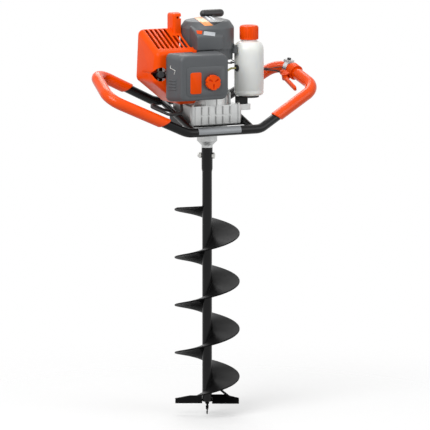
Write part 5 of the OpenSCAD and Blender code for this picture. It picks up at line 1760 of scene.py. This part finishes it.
@dataclass(frozen=True)
class FuelSystem:
    """The bottle, its ribbed cap, the grommet and the hoses, in millimetres and degrees."""

    shop: Shop
    # Bottle
    at: Point = (121.0, -44.0, 986.0)
    radius: float = 45.0
    neck: float = 24.0
    neck_rise: float = 26.0
    neck_round: float = 2.0
    height: float = 166.0
    wall: float = 2.2
    dish: float = 1.6
    dish_in: Pair = (16.0, 12.0)
    foot_round: float = 10.0
    foot_groove: tuple[Pair, ...] = ((0.5, 16.0), (0.5, 17.5), (0.0, 18.5))
    shoulder: float = 30.0
    shoulder_from: float = 34.0
    threads: int = 2
    thread_from: float = 10.0
    thread_step: float = 6.0
    thread: tuple[Pair, ...] = ((0.0, 0.0), (0.25, 1.0), (0.0, 2.0))
    room_top: float = 38.0
    room_foot: float = 14.0
    # Cap
    cap_radius: float = 29.0
    cap_foot: float = 1157.0
    cap_height: float = 43.0
    cap_skirt: tuple[Pair, ...] = ((1.4, 0.0), (0.2, 0.8), (0.2, 3.0), (1.2, 4.0))
    cap_crown: tuple[Pair, ...] = ((1.2, 4.0), (2.4, 1.6), (4.6, 0.6), (8.0, 0.6), (9.0, 1.8))
    cap_dish: float = 1.8
    cap_room: Pair = (22.0, 21.0)
    cap_play: float = 0.3
    rib_count: int = 24
    rib_radius: float = 1.5
    rib_in: float = 1.5
    rib_short: float = 9.0
    rib_drop: float = 0.6
    rib_edge: float = 0.7
    # Hoses
    hole_turn: float = 190.0
    hole_level: float = 1072.0
    hose_lead: Pair = (8.0, 24.0)
    hose_path: tuple[Point, ...] = ((20.0, -84.0, 1066.0), (-60.55, -77.0, 1058.0))
    hose_bends: tuple[float, ...] = (0.0, 22.0, 22.0, 0.0)
    hose_radius: float = 3.2
    grommet: tuple[Pair, ...] = (
        (3.3, -4.0), (5.0, -4.0), (5.7, -3.2), (5.7, 0.6), (9.4, 0.6), (10.0, 1.4), (10.0, 3.4),
        (8.6, 4.6), (5.6, 5.0), (5.0, 6.0), (3.3, 6.0))
    loop_path: tuple[Point, ...] = (
        (-112.0, -48.0, 970.2), (-114.0, -58.0, 944.0), (-170.0, -88.0, 944.0), (-210.0, -45.0, 966.0),
        (-180.0, 14.0, 966.0), (-132.0, 34.0, 946.0), (-109.8, 39.8, 941.2))
    loop_bend: float = 16.0
    loop_radius: float = 4.5

    def build(self) -> None:
        """Make every piece of the fuel system."""
        self.bottle()
        self.cap()
        self.cap_ribs()
        self.hose()
        self.breather()

    def bottle(self) -> None:
        """Blow the bottle: a rounded foot, a soft shoulder and a threaded neck."""
        r, n, h, w = self.radius, self.neck, self.height, self.wall
        f, s, throat = self.foot_round, self.shoulder, self.neck + self.neck_round
        steps = [10.0 * k for k in range(9)]
        foot = [math.radians(step - 80.0) for step in steps]
        shoulder = [math.radians(step) for step in steps]
        outer = [(0.0, self.dish), (r - self.dish_in[0], self.dish), (r - self.dish_in[1], 0.0)]
        outer += [(r - f + f * math.cos(turn), f + f * math.sin(turn)) for turn in foot]
        outer += [(r - x, z) for x, z in self.foot_groove]
        outer.append((r, h - self.shoulder_from))
        outer += [(throat + (r - throat) * math.cos(turn), h - s + s * math.sin(turn)) for turn in shoulder]
        outer += [(throat, h), (n, h + self.neck_round)]
        for k in range(self.threads):
            level = h + self.thread_from + self.thread_step * k
            outer += [(n + x, level + z) for x, z in self.thread]
        outer += [(n, h + self.neck_rise), (n - w, h + self.neck_rise)]
        inner = [(n - w, h - self.neck_round), (r - w, h - self.room_top), (r - w, self.room_foot),
                 (r - self.dish_in[1], self.dish + w), (0.0, self.dish + w)]
        bottle = lathe("bottle", outer + inner, Matrix.Translation(mm(self.at)), 128)
        self.shop.seat(bottle, "machine", Look.BOTTLE, "bottle_plastic", "fuel_bottle")

    def cap(self) -> None:
        """Turn the cap, which is hollow up to the bottle's lip."""
        r, h, bore = self.cap_radius, self.cap_height, self.neck + self.cap_play
        profile = [(r - x, z) for x, z in self.cap_skirt] + [(r - x, h - z) for x, z in self.cap_crown]
        profile += [(0.0, h - self.cap_dish), (0.0, self.cap_room[0]), (bore, self.cap_room[1]), (bore, 0.0)]
        base = Matrix.Translation(mm((self.at[0], self.at[1], self.cap_foot)))
        self.shop.seat(lathe("cap_body", profile, base, 128), "cap", Look.ORANGE_GLOSS, "orange_plastic",
                       "fuel_cap")

    def cap_ribs(self) -> None:
        """Set grip ribs round the cap."""
        recipe = Recipe("cap_rib_recipe")
        graph = recipe.graph
        ring = graph.add("GeometryNodeMeshCircle")
        recipe.give("Ribs", self.rib_count, ring.inputs["Vertices"], kind="NodeSocketInt")
        recipe.give("Radius", (self.cap_radius - self.rib_in) * MM, ring.inputs["Radius"])
        bar = graph.add("GeometryNodeMeshCylinder", {
            "Vertices": 12, "Radius": self.rib_radius * MM,
            "Depth": (self.cap_height - self.rib_short) * MM})
        laid = graph.add("GeometryNodeInstanceOnPoints", {
            "Points": ring.outputs[0], "Instance": bar.outputs[0]})
        middle = self.cap_foot + self.cap_height / 2.0 - self.rib_drop
        place = graph.add("GeometryNodeTransform", {
            0: laid.outputs[0], "Translation": mm((self.at[0], self.at[1], middle))})
        ribs = recipe.bake("cap_ribs", place.outputs[0], self.shop.finishes.get(Look.ORANGE_GLOSS))
        bevel(ribs, self.rib_edge, 2, 50.0)
        self.shop.seat(ribs, "cap", Look.ORANGE_GLOSS, "orange_plastic")

    def hose(self) -> None:
        """Run the fuel line from the grommet in the bottle to the carburettor."""
        turn = math.radians(self.hole_turn)
        out = Vector((math.cos(turn), math.sin(turn), 0.0))
        hole = Vector((self.at[0], self.at[1], self.hole_level)) + out * self.radius
        path = [hole - out * self.hose_lead[0], hole + out * self.hose_lead[1], *self.hose_path]
        hose = sweep("fuel_line", Route(path, self.hose_bends, step=3.0), self.hose_radius, 24)
        self.shop.seat(hose, "machine", Look.FUEL_LINE, "fuel_line", "fuel_hose")
        grommet = lathe("grommet", self.grommet, along(out, hole), 48)
        self.shop.seat(grommet, "machine", Look.RUBBER, "hose_rubber")

    def breather(self) -> None:
        """Loop the breather hose under the shroud."""
        route = Route(self.loop_path, [self.loop_bend] * len(self.loop_path), step=3.0)
        hose = sweep("breather_loop", route, self.loop_radius, 24)
        self.shop.seat(hose, "machine", Look.RUBBER, "hose_rubber", "breather_hose")


# Handle

@dataclass(frozen=True)
class Handle:
    """The bent tube with two dipped grips and a bare plate, in millimetres and degrees."""

    shop: Shop
    # Tube
    rake: float = 18.0
    level: float = 926.5
    tube_radius: float = 14.0
    bar: Pair = (124.0, 120.0)
    front: Point = (352.0, -19.0, 80.0)
    rear: Point = (323.0, 165.0, 89.0)
    bar_bend: float = 60.0
    loop_bend: float = 55.0
    # Grips
    grip_radius: float = 18.0
    grip_from: float = 0.285
    grip_to: float = 0.433
    coat: float = 0.15
    swell: float = 5.0
    dip: Pair = (0.505, 0.863)
    dip_fade: float = 60.0
    # Plate
    plate_lift: Pair = (0.1, 0.9)
    plate_from: float = 100.0
    plate_step: float = 8.0
    plate_points: int = 14
    plate_span: Pair = (-92.0, 52.0)
    plate_edge: float = 0.3

    def raked(self, point: Point) -> Vector:
        """Lean a point of the handle's plane back by the rake.

        Args:
            point: Place in the handle's plane.

        Returns:
            Place in the machine, in millimetres.
        """
        lean = Matrix.Rotation(math.radians(self.rake), 3, "X")
        return lean @ Vector(point) + Vector((0.0, 0.0, self.level))

    def corners(self, side: float) -> list[Vector]:
        """Give the four corners of one loop, front bar first.

        Args:
            side: One for the right loop, minus one for the left.

        Returns:
            Corners in millimetres.
        """
        x, y = self.bar
        flat = [(x, -y, 0.0), self.front, self.rear, (x, y, 0.0)]
        return [self.raked((side * across, ahead, up)) for across, ahead, up in flat]

    def build(self) -> None:
        """Make the tube, the grips and the plate."""
        path = self.corners(1.0) + self.corners(-1.0)[::-1]
        bends = [self.bar_bend, self.loop_bend, self.loop_bend, self.bar_bend] * 2
        tube = sweep("handle_tube", Route(path, bends, True, 5.0), self.tube_radius, 40)
        self.shop.seat(tube, "machine", Look.BLACK_PAINT, "black_paint", "handle_frame")
        left, right = self.grip(-1.0, "grip_left"), self.grip(1.0, "grip_right")
        self.shop.seat(left, "machine", Look.ORANGE_DIP, "orange_grip", "handle_grips")
        self.shop.seat(right, "machine", Look.ORANGE_DIP, "orange_grip")
        self.plate()

    def grip(self, side: float, name: str) -> bpy.types.Object:
        """Dip one loop: the coat ends on the plane that the bath's surface made.

        Args:
            side: One for the right loop, minus one for the left.
            name: Name of the piece.

        Returns:
            The new object.
        """
        a, b, c, d = self.corners(side)
        path = [a.lerp(b, self.grip_from), b, c, d.lerp(c, self.grip_to)]
        route = Route(path, [0.0, self.loop_bend, self.loop_bend, 0.0], step=1.5)
        far = route.distances()
        radii = []
        for distance in far:
            near = min(distance, far[-1] - distance)
            swell = math.sqrt(max(0.0, 1.0 - (1.0 - min(near / self.swell, 1.0)) ** 2))
            radii.append(self.tube_radius + self.coat
                         + (self.grip_radius - self.tube_radius - self.coat) * swell)
        surface = Vector((self.dip[0] * side, 0.0, self.dip[1]))
        return sweep(name, route, radii, 40, surface, self.dip_fade)

    def plate(self) -> None:
        """Wrap a bare plate round the front of the front bar."""
        turns = [math.radians(self.plate_from + self.plate_step * k) for k in range(self.plate_points)]
        outline = []
        for lift, order in zip(self.plate_lift, (1, -1)):
            radius = self.tube_radius + lift
            outline += [(radius * math.cos(turn), radius * math.sin(turn)) for turn in turns[::order]]
        place = axes((0.0, 1.0, 0.0), (0.0, 0.0, 1.0), (1.0, 0.0, 0.0), self.raked((0.0, -self.bar[1], 0.0)))
        plate = bevel(prism("bar_plate", outline, self.plate_span, place), self.plate_edge, 2, 50.0)
        self.shop.seat(plate, "machine", Look.BAR_PLATE, "cast_alloy")


# Throttle lever, cables and the plug boot

@dataclass(frozen=True)
class Cables:
    """The throttle lever with its cable, the stop wire and the plug boot, in millimetres and degrees."""

    shop: Shop
    # Lever
    lever_at: Point = (334.02, 63.98, 1037.27)
    lever_x: Point = (0.1555, -0.9235, -0.3508)
    lever_y: Point = (-0.9286, -0.0156, -0.3706)
    pin_out: float = 36.0
    pin_radius: float = 3.05
    pin_span: Pair = (-9.0, 9.0)
    hub_radius: float = 9.0
    hub_from: float = 70.2
    hub_step: float = 8.82
    hub_points: int = 31
    blade: tuple[Pair, ...] = ((30.0, 2.0), (76.0, 8.0), (84.0, 14.0), (76.0, 18.0), (26.0, 12.0))
    blade_rounds: tuple[float, ...] = (60.0, 8.0, 3.8, 8.0, 0.0)
    blade_span: Pair = (-6.0, 6.0)
    blade_edge: float = 1.6
    # Throttle cable
    cable_out: float = 34.0
    cable_back: float = 13.0
    cable_lead: float = 23.0
    cable_path: tuple[Point, ...] = ((205.0, 62.0, 1052.0), (104.0, 42.0, 1080.0), (48.0, -72.0, 1090.0),
                                     (-30.0, -84.0, 1098.0), (-66.0, -84.0, 1098.0))
    cable_bends: tuple[float, ...] = (14.0, 14.0, 40.0, 14.0, 14.0, 14.0, 14.0)
    cable_radius: float = 2.5
    # Stop wire
    switch_at: Point = (326.51, 91.44, 1046.37)
    switch_x: Point = (0.4512, -0.8717, -0.1911)
    switch_z: Point = (0.0878, -0.1697, 0.9816)
    wire_out: float = 20.4
    wire_lead: Point = (-16.0, -8.3, 6.0)
    meet: Point = (258.27, 82.12, 1047.87)
    leave: Point = (205.0, 62.0, 1056.4)
    wire_path: tuple[Point, ...] = ((112.0, 46.0, 1084.0), (71.2, 28.8, 1109.0))
    wire_bends: tuple[float, ...] = (0.0, 6.0, 20.0, 40.0, 12.0, 0.0)
    wire_radius: float = 1.5
    tie_profile: tuple[Pair, ...] = ((4.2, -1.6), (5.1, -1.6), (5.1, 1.6), (4.2, 1.6))
    tie_shares: tuple[float, ...] = (0.25, 0.8)
    tie_drop: float = 2.8
    # Plug boot
    boot_path: tuple[Point, ...] = ((-147.0, 0.0, 1056.0), (-180.0, 0.0, 1056.0), (-196.0, -82.0, 1068.0))
    boot_bends: tuple[float, ...] = (0.0, 24.0, 0.0)
    boot_radius: float = 10.2
    boot_widest: float = 11.0
    boot_end: float = 9.4
    boot_lip: float = 1.5
    ridge: float = 0.9
    ridge_step: float = 7.0
    ridge_run: float = 24.0

    def build(self) -> None:
        """Make the lever and every cable."""
        self.lever()
        self.throttle()
        self.wire()
        self.ties()
        self.boot()

    def lever(self) -> None:
        """Mould the throttle lever: a hub on its pin and a blade with a rounded end."""
        x, y = Vector(self.lever_x), Vector(self.lever_y)
        place = axes(x, y, x.cross(y), Vector(self.lever_at) + y * self.pin_out)
        turns = [math.radians(self.hub_from + self.hub_step * k) for k in range(self.hub_points)]
        corners = [(self.hub_radius * math.cos(turn), self.hub_radius * math.sin(turn)) for turn in turns]
        radii = [0.0] * len(turns) + list(self.blade_rounds)
        outline = rounded(corners + list(self.blade), radii)
        blade = prism("lever_blade", outline, self.blade_span, place)
        hole = rod("pin_hole", self.pin_radius, self.pin_span, place, 32)
        bevel(combine(blade, [hole], Join.CUT), self.blade_edge, 3, 40.0)
        self.shop.seat(blade, "lever", Look.ORANGE_GLOSS, "orange_plastic", "throttle_lever")

    def throttle(self) -> None:
        """Run the throttle cable from the lever's clamp to the bracket on the carburettor."""
        x, y = Vector(self.lever_x), Vector(self.lever_y)
        end = Vector(self.lever_at) + y * self.cable_out - x * self.cable_back
        route = Route([end, end - x * self.cable_lead, *self.cable_path], self.cable_bends, step=3.0)
        cable = sweep("throttle_cable", route, self.cable_radius, 20)
        self.shop.seat(cable, "machine", Look.RUBBER, "hose_rubber", "control_cables")

    def wire(self) -> None:
        """Run the stop switch's wire to the throttle cable, along it and on to the fan case."""
        side = Vector(self.switch_z).cross(Vector(self.switch_x))
        start = Vector(self.switch_at) - side * self.wire_out
        path = [start, start + Vector(self.wire_lead), self.meet, self.leave, *self.wire_path]
        wire = sweep("stop_wire", Route(path, self.wire_bends, step=2.0), self.wire_radius, 16)
        self.shop.seat(wire, "machine", Look.RUBBER, "hose_rubber")

    def ties(self) -> None:
        """Tie the wire to the cable."""
        meet, leave = Vector(self.meet), Vector(self.leave)
        for i, share in enumerate(self.tie_shares):
            at = meet.lerp(leave, share) - Vector((0.0, 0.0, self.tie_drop))
            tie = lathe(f"cable_tie_{i}", self.tie_profile, along(leave - meet, at), 32)
            self.shop.seat(tie, "machine", Look.BLACK_PLASTIC, "black_plastic")

    def boot(self) -> None:
        """Mould the plug boot with finger ridges at its free end."""
        route = Route(self.boot_path, self.boot_bends, step=1.0)
        far = route.distances()
        radii = []
        for distance in far:
            left = far[-1] - distance
            wave = max(0.0, math.sin(left * math.tau / self.ridge_step))
            ridge = self.ridge * wave if left < self.ridge_run else 0.0
            full = min(self.boot_radius + ridge, self.boot_widest)
            radii.append(full if left > self.boot_lip else self.boot_end)
        boot = sweep("boot_shell", route, radii, 32)
        self.shop.seat(boot, "machine", Look.RUBBER, "hose_rubber", "plug_boot")


def main() -> None:
    """Build the studio and the machine."""
    logging.basicConfig(level=logging.INFO, format="%(name)s: %(message)s")
    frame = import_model()
    shop = Shop(Finishes())
    Stage().build()
    Innards(frame["nodes"], shop).build()
    for assembly in (DrillBit, Shroud, AirFilter, Starter, FuelSystem, Handle, Cables):
        assembly(shop).build()


if __name__ == "__main__":
    main()
